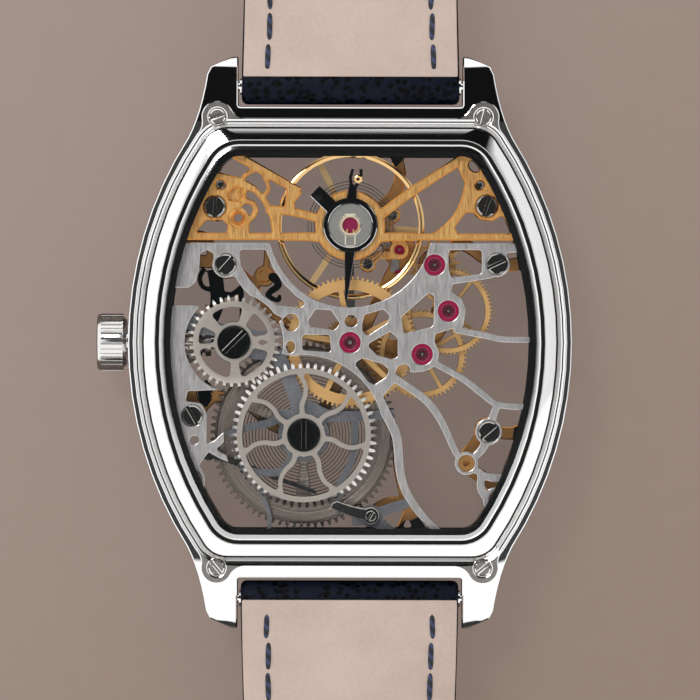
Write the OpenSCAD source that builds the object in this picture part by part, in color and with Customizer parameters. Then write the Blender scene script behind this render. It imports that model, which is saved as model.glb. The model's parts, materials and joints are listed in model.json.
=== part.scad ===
// Hand-wound skeleton wristwatch with a tonneau case, lying on its front crystal.
// The origin is the middle of the crystal's outer face, +Z runs out of the case
// back, +Y to twelve o'clock and +X to the right as seen from the back.

/* [Case] */
// Width of the case across the flanks
case_w = 40; // [38:0.5:42]
// Length over the lug tips
lug_to_lug = 51.5; // [50.5:0.5:54]
// Radius of the curved flanks
flank_r = 34.3; // [32:0.5:40]
// Height of the bezel's seat on the case
case_front = 2.4; // [2.2:0.1:2.6]
// Height of the case back's seat on the case
case_rear = 8.1; // [8:0.1:8.6]
// Gap between the lugs, which is the strap's nominal width
lug_gap = 20.2; // [19.6:0.2:20.6]
// Distance from the middle to the strap's recess
recess_y = 21.2; // [20.9:0.1:21.4]
// Half width of the cavity for the movement
cavity_w = 17.45; // [17.3:0.05:17.6]
// Half length of the cavity for the movement
cavity_l = 18; // [17.9:0.05:18.1]
// Radius of the cavity's corners
cavity_corner = 2.6; // [2.2:0.1:3]

/* [Back and bezel] */
// Half width of the case back
back_w = 19.5; // [19.3:0.1:19.6]
// Half length of the case back between its ears
back_l = 20.15; // [20:0.05:20.3]
// Thickness of the case back
back_t = 1.7; // [1.5:0.1:2]
// Radius of the four screw ears
ear_r = 1.42; // [1.3:0.02:1.5]
// Distance of the ears from the middle line
ear_x = 11.95; // [11.8:0.05:12]
// Distance of the ears from the crown line
ear_y = 20.25; // [20.15:0.05:20.35]
// Radius of the case screws' heads
case_screw_r = 0.78; // [0.7:0.02:0.85]
// Half width of the window in the back
window_w = 16.15; // [16:0.05:16.2]
// Half length of the window in the back
window_l = 16.75; // [16.6:0.05:16.85]
// Radius of the window's corners
window_corner = 1.8; // [1.5:0.1:2.2]
// Thickness of both crystals
crystal_t = 1.1; // [1:0.05:1.2]
// Width of the crystals' gaskets
gasket_w = 0.35; // [0.3:0.05:0.4]

/* [Crown] */
// Height of the stem above the crystal
stem_z = 4.95; // [4.9:0.01:5]
// Radius of the crown
crown_r = 2.6; // [2.4:0.05:2.65]
// Length of the crown along the stem
crown_l = 2.75; // [2.5:0.05:3]
// Number of flutes on the crown
crown_flutes = 26; // [20:1:32]
// Distance that the crown pulls out
crown_pull = 1.0; // [0.8:0.1:1.1]
// Radius of the winding stem
stem_r = 0.6; // [0.5:0.05:0.65]

/* [Train] */
// Position of the third wheel
third_at = [6.5, -1.05];
// Position of the fourth wheel
fourth_at = [8.85, 2.85];
// Position of the escape wheel
escape_at = [7.6, 7];
// Position of the pallet fork
pallet_at = [4.45, 8.4];
// Position of the balance
balance_at = [0, 10.55];
// Position of the barrel and its ratchet wheel
barrel_at = [-4.15, -8.35];
// Position of the crown wheel
crown_wheel_at = [-10.45, 0];
// Teeth of the barrel
barrel_teeth = 80; // [76:1:84]
// Teeth of the centre wheel
centre_teeth = 80; // [76:1:84]
// Teeth of the third wheel
third_teeth = 60; // [56:1:64]
// Teeth of the fourth wheel
fourth_teeth = 70; // [66:1:74]
// Teeth of the ratchet wheel
ratchet_teeth = 58; // [54:1:62]
// Teeth of the crown wheel
crown_wheel_teeth = 36; // [32:1:40]
// Teeth of the winding pinion
winding_teeth = 18; // [16:1:20]
// Thickness of the train wheels
wheel_t = 0.16; // [0.12:0.01:0.18]
// Thickness of the ratchet and crown wheels
keyless_wheel_t = 0.42; // [0.35:0.01:0.45]
// Radial clearance of shafts in their bores
running_gap = 0.03; // [0.02:0.005:0.05]

/* [Balance] */
// Outer radius of the balance rim
rim_r = 6.75; // [6.6:0.05:6.8]
// Width of the balance rim
rim_w = 0.55; // [0.45:0.05:0.65]
// Turns of the hairspring
hairspring_turns = 5; // [4:1:5]
// Turns of the mainspring
mainspring_turns = 8; // [6:1:8]

/* [Strap] */
// Width of the strap at the lugs
strap_w = 19.6; // [19:0.1:19.6]
// Width of the strap from the taper's end to the buckle
strap_end_w = 18; // [17.5:0.1:18.2]
// Distance of the spring bars from the crown line
bar_y = 23.05; // [22.95:0.05:23.3]
// Height of the spring bars
bar_z = 6.6; // [6.5:0.05:6.7]
// Length of the buckle half of the strap
upper_l = 75; // [70:1:85]
// Length of the half with the holes
lower_l = 112; // [105:1:125]
// Thickness of the strap where it lies flat
strap_t = 1.9; // [1.6:0.05:2.2]
// Number of buckle holes
strap_holes = 7; // [5:1:9]
// Distance between buckle holes
hole_pitch = 6.5; // [5:0.5:7]

/* [Hidden] */

$fn = 48;
cut = 0.5;
touch_gap = 0.05;
side_steps = 16;
corner_steps = 6;

// Heights of the movement's layers
crystal_face = 0;
bezel_front = 0.25;
back_top = case_rear + back_t;
back_glass_z = back_top - 0.2 - crystal_t;
minute_hand_z = 1.5;
hour_hand_z = 1.8;
hand_t = 0.12;
motion_z = 2.3;
motion_t = 0.3;
plate_z = 2.75;
plate_t = 0.9;
plate_top = plate_z + plate_t;
escape_z = 4.0;
pallet_bridge_z = 4.35;
barrel_z = 3.9;
barrel_h = 1.8;
barrel_tooth_t = 0.5;
third_z = 4.9;
rim_z = 4.95;
rim_t = 0.5;
fourth_z = 5.5;
hairspring_z = 5.62;
hairspring_h = 0.18;
centre_z = 5.95;
bridge_z = 6.4;
bridge_t = 1.1;
bridge_top = bridge_z + bridge_t;
recess_z = 6.78;
ratchet_z = 6.86;

// Gear sizes that follow from the arbor positions
function span(a, b) = norm(a - b);
function module_of(a, b, wheel, pinion) = 2 * span(a, b) / (wheel + pinion);
centre_at = [0, 0];
centre_leaves = 10;
third_leaves = 10;
fourth_leaves = 8;
escape_leaves = 7;
escape_teeth = 15;
barrel_m = module_of(barrel_at, centre_at, barrel_teeth, centre_leaves);
centre_m = module_of(centre_at, third_at, centre_teeth, third_leaves);
third_m = module_of(third_at, fourth_at, third_teeth, fourth_leaves);
fourth_m = module_of(fourth_at, escape_at, fourth_teeth, escape_leaves);
winding_m = module_of(barrel_at, crown_wheel_at, ratchet_teeth, crown_wheel_teeth);
barrel_pitch_r = barrel_m * barrel_teeth / 2;
crown_wheel_pitch_r = winding_m * crown_wheel_teeth / 2;
ratchet_pitch_r = winding_m * ratchet_teeth / 2;
escape_r = 2.5;
arbor_r = 0.28;
pivot_r = 0.11;
winding_tip_r = ratchet_z - stem_z - touch_gap;
winding_root_r = winding_tip_r - 0.4;

// Arcs, curves and ribbons
function arc(c, r, from, to, steps) =
  [for (i = [0 : steps]) let (a = from + (to - from) * i / steps) c + r * [cos(a), sin(a)]];
function arc_open(c, r, from, to, steps) =
  [for (i = [0 : steps - 1]) let (a = from + (to - from) * i / steps) c + r * [cos(a), sin(a)]];
function bezier(a, b, c, steps) =
  [for (i = [0 : steps]) let (t = i / steps) (1 - t) * (1 - t) * a + 2 * t * (1 - t) * b + t * t * c];
function curve_point(p, i, t) =
  let (n = len(p) - 1,
     a = p[max(i - 1, 0)],
     b = p[i],
     c = p[min(i + 1, n)],
     d = p[min(i + 2, n)])
  0.5 * (2 * b + (c - a) * t + (2 * a - 5 * b + 4 * c - d) * t * t + (3 * b - a - 3 * c + d) * t * t * t);
function smooth(p, steps = 5) =
  concat([for (i = [0 : len(p) - 2]) for (s = [0 : steps - 1]) curve_point(p, i, s / steps)],
      [p[len(p) - 1]]);
function side_of(p, i) =
  let (d = p[min(i + 1, len(p) - 1)] - p[max(i - 1, 0)])
  [-d[1], d[0]] / max(norm(d), 0.001);
function ribbon(p, w0, w1) =
  let (n = len(p) - 1,
     half = [for (i = [0 : n]) (w0 + (w1 - w0) * i / n) / 2])
  concat([for (i = [0 : n]) p[i] + side_of(p, i) * half[i]],
      [for (i = [n : -1 : 0]) p[i] - side_of(p, i) * half[i]]);
function turned(p, a) = [for (q = p) [q[0] * cos(a) - q[1] * sin(a), q[0] * sin(a) + q[1] * cos(a)]];

// Tonneau outline: two bowed flanks, two straight ends and four round corners
function tonneau(w, l, r, corner) =
  let (cy = l - corner,
     reach = sqrt(pow(r - corner, 2) - cy * cy),
     px = w - r + reach,
     turn = atan2(cy, reach))
  concat(arc_open([w - r, 0], r, -turn, turn, side_steps),
      arc([px, cy], corner, turn, 90, corner_steps),
      arc_open([-px, cy], corner, 90, 180 - turn, corner_steps),
      arc_open([r - w, 0], r, 180 - turn, 180 + turn, side_steps),
      arc([-px, -cy], corner, 180 + turn, 270, corner_steps),
      arc_open([px, -cy], corner, 270, 360 - turn, corner_steps));
window_flank_r = flank_r - 4.8;
function window_line(grow) =
  tonneau(window_w + grow, window_l + grow, window_flank_r + grow, window_corner + grow);
function back_line(inset) =
  tonneau(back_w - inset, back_l - inset, flank_r - 0.9 - inset, 3.4 - inset);
function cavity_line(inset) =
  tonneau(cavity_w - inset, cavity_l - inset, flank_r - 2.5 - inset, cavity_corner - inset);
movement_inset = 0.75;
flange_t = 0.25;

// A plate of a 2D outline between two heights
module plate(z, t) {
  translate([0, 0, z])
    linear_extrude(t)
      children();
}

// Smooths an outline's inner and outer corners
module eased(r) {
  offset(r = -r, $fn = 16)
    offset(r = 2 * r, $fn = 24)
      offset(delta = -r)
        children();
}

// An opening's outline with round corners
module opening(p, r) {
  offset(r = r, $fn = 20)
    offset(delta = -r)
      polygon(p);
}

// A curved rib of changing width
module rib(p, w0, w1) {
  polygon(ribbon(smooth(p), w0, w1));
}

module hole_through(at, r, z, h) {
  translate([at[0], at[1], z])
    cylinder(r = r, h = h);
}

// A ring with square walls
module ring(at, outer, inner, z, h) {
  translate([at[0], at[1], z])
    difference() {
      cylinder(r = outer, h = h);
      translate([0, 0, -cut])
        cylinder(r = inner, h = h + 2 * cut);
    }
}

// A frame that follows a ring of profile points round two outlines
module loft(lines, heights) {
  n = len(lines[0]);
  rings = len(lines);
  points = [for (k = [0 : rings - 1]) for (p = lines[k]) [p[0], p[1], heights[k]]];
  faces = [for (k = [0 : rings - 1]) for (i = [0 : n - 1])
    let (k2 = (k + 1) % rings, i2 = (i + 1) % n)
    for (f = [[k * n + i, k2 * n + i, k2 * n + i2], [k * n + i, k2 * n + i2, k * n + i2]]) f];
  polyhedron(points, faces, convexity = 6);
}

// Tooth outlines
function tooth(i, n, m, tip, root, thick) =
  let (a = 360 * i / n,
     pitch = m * n / 2,
     half = thick * 90 / n,
     outer = pitch + tip * m,
     inner = pitch - root * m)
  [inner * [cos(a - half * 1.25), sin(a - half * 1.25)],
   pitch * [cos(a - half), sin(a - half)],
   outer * [cos(a - half * 0.35), sin(a - half * 0.35)],
   outer * [cos(a + half * 0.35), sin(a + half * 0.35)],
   pitch * [cos(a + half), sin(a + half)],
   inner * [cos(a + half * 1.25), sin(a + half * 1.25)]];
function gear_line(n, m, phase, tip = 0.9, root = 1.2, thick = 0.88) =
  turned([for (i = [0 : n - 1]) for (p = tooth(i, n, m, tip, root, thick)) p], phase);

// Turn that brings a gear's tooth to face its mate, or its gap with half a pitch
function facing(a, b) = atan2(b[1] - a[1], b[0] - a[0]);
function gap_turn(n) = 180 / n;

// A wheel with a toothed rim, a hub and straight spokes
module spoked(line, rim_in, hub, spokes, spoke_w, turn) {
  offset(r = 0.04, $fn = 12)
    offset(delta = -0.04) {
      difference() {
        polygon(line);
        circle(r = rim_in, $fn = 96);
      }
      circle(r = hub);
      for (i = [0 : spokes - 1])
        polygon(turned([[0, -spoke_w / 2], [rim_in + 0.1, -spoke_w * 0.4],
          [rim_in + 0.1, spoke_w * 0.4], [0, spoke_w / 2]], turn + 360 * i / spokes));
    }
}

// A slotted screw head with a threaded shank below it
module slotted_screw(at, head_r, head_z, head_h, shank_r, shank_z, turn) {
  slot_w = head_r * 0.24;
  slot_d = head_h * 0.45;
  translate([at[0], at[1], 0])
    difference() {
      union() {
        translate([0, 0, head_z])
          cylinder(r = head_r, h = head_h - head_r * 0.1);
        translate([0, 0, head_z + head_h - head_r * 0.1])
          cylinder(r1 = head_r, r2 = head_r * 0.9, h = head_r * 0.1);
        translate([0, 0, shank_z])
          cylinder(r = shank_r, h = head_z - shank_z);
      }
      rotate([0, 0, turn])
        translate([-head_r - cut, -slot_w / 2, head_z + head_h - slot_d])
          cube([2 * (head_r + cut), slot_w, slot_d + cut]);
    }
}

// Case

lug_x = 12.95;
lug_tip_y = lug_to_lug / 2;
function case_quarter() =
  let (a = asin(18.4 / flank_r),
     start = [case_w / 2 - flank_r, 0] + flank_r * [cos(a), sin(a)])
  concat(arc_open([case_w / 2 - flank_r, 0], flank_r, 0, a, side_steps / 2),
      bezier(start, [13.5, 20.6], [lug_x, lug_tip_y - 1.6], 6),
      [[lug_x - 0.35, lug_tip_y - 0.9], [lug_gap / 2 + 0.5, lug_tip_y],
      [lug_gap / 2, lug_tip_y], [lug_gap / 2, recess_y]]);
function mirrored_x(p) = [for (i = [len(p) - 1 : -1 : 0]) [-p[i][0], p[i][1]]];
function mirrored_y(p) = [for (i = [len(p) - 1 : -1 : 0]) [p[i][0], -p[i][1]]];
function case_line() =
  let (q = case_quarter(),
     half = concat(q, mirrored_x(q)))
  concat(half, [for (i = [len(half) - 2 : -1 : 1]) [half[i][0], -half[i][1]]]);

// Side view of the case: a flat back and lugs that thin out towards their tips
lug_fall_y = 19.9;
lug_fall = 0.14;
function rear_at(y) = case_rear - lug_fall * (y - lug_fall_y);
function case_side() =
  let (front = concat([[0, case_front], [16.8, case_front]],
            bezier([18.6, case_front + 0.15], [23.2, 3.4], [25.6, 6.2], 8)),
     rear = concat([[lug_tip_y + 0.05, 6.75]],
            bezier([lug_tip_y, rear_at(lug_tip_y) - 0.5], [lug_tip_y - 0.6,
                rear_at(lug_tip_y - 0.6) - 0.04],
              [lug_tip_y - 1.4, rear_at(lug_tip_y - 1.4)], 6),
            [[lug_fall_y, case_rear], [0, case_rear]]),
     half = concat(front, rear))
  concat(half, [for (i = [len(half) - 2 : -1 : 1]) [-half[i][0], half[i][1]]]);

module case_body() {
  crown_recess = 0.7;
  color("silver")
    difference() {
      intersection() {
        plate(0, 12)
          polygon(case_line());
        rotate([90, 0, 90])
          translate([0, 0, -case_w])
            linear_extrude(2 * case_w)
              polygon(case_side());
      }
      plate(-cut, 12)
        polygon(cavity_line(0));
      translate([0, 0, stem_z])
        rotate([0, -90, 0]) {
          cylinder(r = tube_r, h = case_w);
          translate([0, 0, case_w / 2 - crown_recess])
            cylinder(r = crown_r + 0.15, h = 5);
        }
      for (x = [-1, 1], y = [-1, 1])
        hole_through([x * ear_x, y * ear_y], case_screw_shank_r + running_gap, case_screw_foot, 12);
      for (y = [-1, 1])
        translate([-case_w / 2, y * bar_y, bar_z])
          rotate([0, 90, 0])
            translate([0, 0, case_w / 2 - lug_gap / 2 - bar_pin_l])
              cylinder(r = bar_pin_r + running_gap, h = lug_gap + 2 * bar_pin_l);
    }
}
case_screw_shank_r = 0.45;
case_screw_foot = 5.6;
tube_r = 1.0;
bar_r = 0.75;
bar_pin_r = 0.4;
bar_pin_l = 0.8;

front_grow = 0.6;
glass_seat = 0.35;
back_glass_seat = 1;
module bezel() {
  outer = 18.6;
  outer_l = 19.4;
  seat = 0.55;
  glass = front_grow + glass_seat + gasket_w;
  color("silver")
    difference() {
      loft([tonneau(outer, outer_l, flank_r - 1.4, 3.2),
         tonneau(outer, outer_l, flank_r - 1.4, 3.2),
         tonneau(outer - 0.6, outer_l - 0.6, flank_r - 2, 2.6),
         window_line(glass),
         window_line(glass),
         window_line(front_grow),
         window_line(front_grow)],
         [case_front, bezel_front + 0.7, bezel_front, bezel_front, crystal_t, crystal_t, case_front]);
      plate(case_front - seat - 0.35, seat + 1)
        difference() {
          polygon(tonneau(outer + 1, outer_l + 1, flank_r, 4));
          polygon(tonneau(outer - 0.35, outer_l - 0.35, flank_r - 1.75, 2.85));
        }
    }
}

module front_crystal() {
  color("lightcyan", 0.3)
    plate(crystal_face, crystal_t)
      polygon(window_line(front_grow + glass_seat));
}

module back_crystal() {
  color("lightcyan", 0.3)
    plate(back_glass_z, crystal_t)
      polygon(window_line(back_glass_seat));
}

module gaskets() {
  color([0.06, 0.06, 0.06]) {
    plate(bezel_front + touch_gap, crystal_t - bezel_front - touch_gap)
      difference() {
        polygon(window_line(front_grow + glass_seat + gasket_w));
        polygon(window_line(front_grow + glass_seat));
      }
    plate(back_glass_z, crystal_t)
      difference() {
        polygon(window_line(back_glass_seat + gasket_w));
        polygon(window_line(back_glass_seat));
      }
  }
}

module case_back() {
  lip = back_glass_z;
  glass = gasket_w + back_glass_seat;
  step_at = 0.5;
  band_at = 1;
  flange_top = case_rear + flange_h;
  color("gainsboro")
    difference() {
      union() {
        loft([back_line(step_at), back_line(step_at), back_line(step_at + 0.14), back_line(step_at + 0.32),
           back_line(step_at + band_at / 2), window_line(glass + 0.5), window_line(glass + 0.08),
           window_line(glass - 0.2), window_line(glass - 0.2)],
          [case_rear + 0.2, flange_top - groove_d, flange_top - 0.03, flange_top + 0.17,
           back_top - 0.34, back_top - 0.11, back_top, back_top, case_rear + 0.2]);
        plate(case_rear, flange_h)
          back_flange();
        plate(case_rear, flange_h - groove_d)
          polygon(back_line(0.1));
      }
      plate(case_rear - cut, back_t + 1)
        polygon(window_line(0));
      plate(lip, back_t)
        polygon(window_line(glass));
      for (x = [-1, 1], y = [-1, 1]) {
        hole_through([x * ear_x, y * ear_y], case_screw_shank_r + running_gap, 0, 12);
        hole_through([x * ear_x, y * ear_y], case_screw_r + touch_gap, case_rear + back_t - 1.3, 4);
      }
    }
}
flange_h = back_t - 0.8;
groove_d = 0.15;

// The back's lowest step: a flat rim that swells into the four screw ears
module back_flange() {
  ear_fillet = 1.5;
  difference() {
    offset(r = -ear_fillet, $fn = 48)
      offset(r = ear_fillet, $fn = 48) {
        polygon(back_line(0));
        for (x = [-1, 1], y = [-1, 1])
          translate([x * ear_x, y * ear_y])
            circle(r = ear_r);
      }
    polygon(back_line(0.2));
  }
}

module case_back_screws() {
  turns = [20, 75, 130, 40];
  color("silver")
    for (i = [0 : 3])
      slotted_screw([(i % 2 * 2 - 1) * ear_x, (i < 2 ? 1 : -1) * ear_y], case_screw_r,
        case_rear + back_t - 1.3, 0.6, case_screw_shank_r, case_screw_foot + 0.1, turns[i]);
}

module movement_ring() {
  color("dimgray")
    difference() {
      plate(case_front + flange_t + 2 * touch_gap, case_rear - case_front - flange_t - 3 * touch_gap)
        difference() {
          polygon(cavity_line(touch_gap));
          polygon(cavity_line(movement_inset - touch_gap));
        }
      translate([0, 0, stem_z])
        rotate([0, -90, 0])
          cylinder(r = tube_r + touch_gap, h = case_w);
    }
}

module crown_tube() {
  color("silver")
    translate([0, 0, stem_z])
      rotate([0, -90, 0])
        translate([0, 0, cavity_w - 0.3])
          difference() {
            cylinder(r = tube_r, h = case_w / 2 - cavity_w + 1);
            translate([0, 0, -cut])
              cylinder(r = stem_r + running_gap, h = case_w);
          }
}

module spring_bars() {
  color("silver")
    for (y = [-1, 1])
      translate([0, y * bar_y, bar_z])
        rotate([0, 90, 0])
          rotate_extrude()
            polygon([[0, -lug_gap / 2 - bar_pin_l + 0.1], [bar_pin_r, -lug_gap / 2 - bar_pin_l + 0.1],
              [bar_pin_r, -lug_gap / 2 + 0.15], [bar_r, -lug_gap / 2 + 0.15],
              [bar_r, lug_gap / 2 - 0.15], [bar_pin_r, lug_gap / 2 - 0.15],
              [bar_pin_r, lug_gap / 2 + bar_pin_l - 0.1], [0, lug_gap / 2 + bar_pin_l - 0.1]]);
}

module crown() {
  back_face = case_w / 2 + 0.12;
  flute_d = 0.16;
  bore_l = 1.5;
  color("silver")
    translate([0, 0, stem_z])
      rotate([0, -90, 0])
        translate([0, 0, back_face])
          difference() {
            intersection() {
              linear_extrude(crown_l)
                polygon([for (i = [0 : crown_flutes * 4 - 1])
                  let (a = 90 * i / crown_flutes, r = i % 4 < 2 ? crown_r : crown_r - flute_d)
                  r * [cos(a), sin(a)]]);
              rotate_extrude()
                polygon(concat([[0, 0], [crown_r - 0.3, 0], [crown_r, 0.3], [crown_r, crown_l - 0.55]],
                  bezier([crown_r - 0.05, crown_l - 0.4], [crown_r - 0.25, crown_l - 0.05],
                    [0, crown_l], 6)));
            }
            translate([0, 0, -cut])
              cylinder(r = tube_r + 0.1, h = cut + 0.95);
            translate([0, 0, -cut])
              cylinder(r = stem_r, h = cut + bore_l);
          }
}

// Winding work

module stem() {
  inner_end = -crown_wheel_at[0] + 1.4;
  length = case_w / 2 + 0.12 + 1.5 - inner_end;
  groove_at = 2.4;
  color("silver")
    translate([0, 0, stem_z])
      rotate([0, -90, 0])
        translate([0, 0, inner_end])
          difference() {
            cylinder(r = stem_r, h = length);
            translate([0, 0, groove_at])
              difference() {
                cylinder(r = stem_r + cut, h = 0.4);
                translate([0, 0, -cut])
                  cylinder(r = stem_r - 0.15, h = 2);
              }
          }
}

winding_at = -crown_wheel_at[0] + crown_wheel_pitch_r;
winding_l = 0.9;
sliding_gap = 0.15;

module winding_pinion() {
  color("silver")
    translate([0, 0, stem_z])
      rotate([0, -90, 0])
        translate([0, 0, winding_at - winding_l / 2])
          difference() {
            linear_extrude(winding_l)
              polygon([for (i = [0 : winding_teeth * 4 - 1])
                let (a = 90 * i / winding_teeth + 45 / winding_teeth,
                   r = i % 4 < 2 ? winding_tip_r : winding_root_r)
                r * [cos(a), sin(a)]]);
            translate([0, 0, -cut])
              cylinder(r = stem_r + running_gap, h = 3);
          }
}

module sliding_pinion() {
  body_r = 1.25;
  color("silver")
    translate([0, 0, stem_z])
      rotate([0, -90, 0])
        translate([0, 0, winding_at - winding_l / 2 - sliding_gap - 1.3])
          difference() {
            union() {
              cylinder(r = body_r, h = 0.5);
              cylinder(r = body_r - 0.3, h = 0.9);
              translate([0, 0, 0.8])
                cylinder(r = body_r, h = 0.5);
            }
            translate([0, 0, -cut])
              cylinder(r = stem_r + running_gap, h = 3);
          }
}

module keyless_levers() {
  lever_z = plate_top + 0.35;
  lever_t = 0.35;
  lever_posts = [[-12.2, 6.3], [-7, 5.9], [-12.9, -4.9]];
  color([0.05, 0.05, 0.05]) {
    plate(lever_z, lever_t)
      eased(0.12) {
        rib([[-12.3, 6.6], [-12.05, 5], [-12.05, 3.4], [-12.6, 1.9]], 1.35, 1.2);
        rib([[-12.4, 4.7], [-13.3, 5], [-13.6, 5.8], [-13.2, 6.7]], 0.4, 0.45);
        rib([[-11.6, 4.4], [-10.8, 4.3], [-10.2, 4.7], [-9.6, 5.3]], 0.6, 0.35);
        rib([[-9.9, 4.8], [-9.75, 3], [-9.8, 1.4]], 0.5, 0.5);
      }
    plate(lever_z, lever_t)
      eased(0.1) {
        rib([[-7, 6.1], [-6.5, 5.2], [-7.2, 4.6], [-7.4, 4.2], [-6.5, 3.8], [-6.4, 4.3]], 0.75, 0.3);
      }
    plate(lever_z, lever_t)
      eased(0.1)
        rib([[-12.6, -3.8], [-13.2, -4.4], [-13.1, -5.2], [-12.7, -5.5]], 1.2, 0.9);
    for (p = lever_posts)
      hole_through(p, 0.4, plate_top, lever_z - plate_top + 0.01);
  }
}

crown_wheel_phase = facing(crown_wheel_at, barrel_at);
ratchet_phase = facing(barrel_at, crown_wheel_at) + gap_turn(ratchet_teeth);
winding_screw_r = 1.5;
crown_core_r = 0.8;

ratchet_tip = 0.7;
crown_wheel_windows = [[76, 130], [14, 57], [-78, -15], [-168, -97], [153, 183]];

module crown_wheel() {
  rim_in = crown_wheel_pitch_r - 0.8;
  hub = 1.8;
  color("darkgray")
    translate([crown_wheel_at[0], crown_wheel_at[1], ratchet_z])
      difference() {
        linear_extrude(keyless_wheel_t)
          offset(delta = 0.001)
            difference() {
              polygon(gear_line(crown_wheel_teeth, winding_m, crown_wheel_phase, 1.05, 1.4, 0.72));
              for (w = crown_wheel_windows)
                opening(ring_window(hub, rim_in, w[0], w[1], 8), 0.3);
              opening([[2.1, 0], [2.5, 0.28], [3.2, 0], [2.5, -0.28]], 0.08);
            }
        translate([0, 0, -cut])
          cylinder(r = crown_core_r + running_gap, h = 2);
      }
}

module ratchet_wheel() {
  rim_in = 5.55;
  hub = 1.95;
  spokes = 7;
  color("darkgray")
    translate([barrel_at[0], barrel_at[1], ratchet_z])
      difference() {
        linear_extrude(keyless_wheel_t)
          intersection() {
            polygon(gear_line(ratchet_teeth, winding_m, ratchet_phase, ratchet_tip, 1.86, 0.78));
            offset(r = -0.25, $fn = 16)
              offset(delta = 0.25) {
                difference() {
                  circle(r = 8);
                  circle(r = rim_in, $fn = 120);
                }
                circle(r = hub);
                for (i = [0 : spokes - 1])
                  polygon(turned(ribbon(smooth([[1.4, 0], [2.6, 0.18], [3.6, -0.12], [4.6, -0.1],
                    [5.7, 0.5]], 4), 0.46, 0.36), 90 - 360 * i / spokes));
              }
          }
        translate([0, 0, -cut])
          cylinder(r = arbor_square_r, h = 2, $fn = 4);
      }
}
arbor_square_r = 0.8;

module ratchet_screw() {
  color([0.08, 0.08, 0.09])
    slotted_screw(barrel_at, winding_screw_r, ratchet_z + keyless_wheel_t, 0.4, 0.4,
      ratchet_z - 0.6, 90);
}

module barrel_arbor() {
  core_r = 1.3;
  color("silver")
    translate([barrel_at[0], barrel_at[1], 0])
      difference() {
        union() {
          translate([0, 0, plate_z + 0.15])
            cylinder(r = arbor_pivot_r, h = bridge_z + 0.25 - plate_z);
          translate([0, 0, barrel_z + 0.45])
            cylinder(r = core_r, h = barrel_h - 0.9);
          translate([0, 0, bridge_z + 0.35])
            cylinder(r = arbor_square_r, h = ratchet_z + keyless_wheel_t - bridge_z - 0.35, $fn = 4);
        }
        translate([0, 0, ratchet_z - 0.65])
          cylinder(r = 0.4, h = 2);
      }
}
arbor_pivot_r = 0.95;

click_pivot = [1.9, -15.6];
click_room = 0.75;
module click_plan() {
  translate(click_pivot)
    circle(r = 0.75);
  rib([click_pivot, [0.3, -15.25], [-1.6, -14.55]], 1.1, 0.75);
}

module click() {
  color("gray")
    difference() {
      plate(ratchet_z, keyless_wheel_t - 0.05)
        eased(0.08)
          difference() {
            click_plan();
            translate(barrel_at)
              circle(r = ratchet_pitch_r + winding_m * ratchet_tip + touch_gap, $fn = 180);
          }
      hole_through(click_pivot, click_bore_r, 0, 12);
    }
}
click_bore_r = 0.3 + running_gap;

module click_spring_plan() {
  rib([[-13, -9.95], [-9.9, -10.95], [-6.4, -12.3], [-3, -13.55]], 0.62, 0.3);
  translate([-12.7, -10.05])
    circle(r = 0.6);
}

module click_spring() {
  color("gray")
    plate(click_spring_z, click_spring_t)
      eased(0.06)
        click_spring_plan();
}
click_spring_t = 0.3;
click_spring_z = ratchet_z - 0.1 - click_spring_t;

// Barrel and mainspring

function ring_window(r0, r1, a0, a1, steps) =
  concat(arc([0, 0], r1, a0, a1, steps), arc([0, 0], r0, a1, a0, steps));
drum_r = 7.85;
drum_wall = 0.35;
barrel_phase = facing(barrel_at, centre_at) + gap_turn(barrel_teeth);

module barrel_spider(hub) {
  arm_turn = 7;
  difference() {
    circle(r = drum_r, $fn = 96);
    for (i = [0 : 2])
      opening(ring_window(hub, 5.8, 120 * i - 90 + arm_turn, 120 * i + 30 - arm_turn, 16), 0.4);
  }
}

module barrel_drum() {
  floor_t = 0.3;
  color("darkgray")
    translate([barrel_at[0], barrel_at[1], barrel_z])
      difference() {
        union() {
          linear_extrude(barrel_tooth_t)
            offset(delta = 0.001)
              difference() {
                polygon(gear_line(barrel_teeth, barrel_m, barrel_phase));
                circle(r = drum_r - 0.2, $fn = 96);
              }
          ring([0, 0], drum_r, drum_r - drum_wall, 0, barrel_h - 0.3);
          linear_extrude(floor_t)
            offset(delta = 0.001)
              barrel_spider(2.4);
        }
        translate([0, 0, -cut])
          cylinder(r = arbor_pivot_r + running_gap, h = 3);
      }
}

module barrel_cover() {
  color("gray")
    translate([barrel_at[0], barrel_at[1], barrel_z + barrel_h - 0.3])
      difference() {
        linear_extrude(0.3)
          offset(delta = 0.001)
            barrel_spider(2.4);
        translate([0, 0, -cut])
          cylinder(r = arbor_pivot_r + running_gap, h = 3);
      }
}

// Flat spiral ribbon from the inner to the outer radius
function spiral(inner, outer, turns, steps) =
  [for (i = [0 : turns * steps])
    let (a = 360 * i / steps, r = inner + (outer - inner) * i / (turns * steps))
    r * [cos(a), sin(a)]];
mainspring_inner = 1.75;
mainspring_outer = drum_r - drum_wall - 0.15;
mainspring_t = 0.12;
hairspring_inner = 1.0;
hairspring_outer = 4.1;
stud_turn = 136;
hairspring_t = 0.06;
spiral_steps = 24;
mainspring_line = spiral(mainspring_inner, mainspring_outer, mainspring_turns, spiral_steps);
hairspring_line = spiral(hairspring_inner, hairspring_outer, hairspring_turns, spiral_steps);
function least_gap(p,
    t) = min([for (i = [0 : len(p) - 1 - spiral_steps]) norm(p[i + spiral_steps] - p[i])]) - t;
echo(mainspring_gap = least_gap(mainspring_line, mainspring_t));
echo(hairspring_gap = least_gap(hairspring_line, hairspring_t));

module mainspring() {
  color("silver")
    translate([barrel_at[0], barrel_at[1], barrel_z + 0.4])
      linear_extrude(barrel_h - 0.8)
        polygon(ribbon(mainspring_line, mainspring_t, mainspring_t));
}

// Going train

function pinion_line(n, m, phase) = gear_line(n, m, phase, 0.75, 1.1, 0.8);

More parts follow.
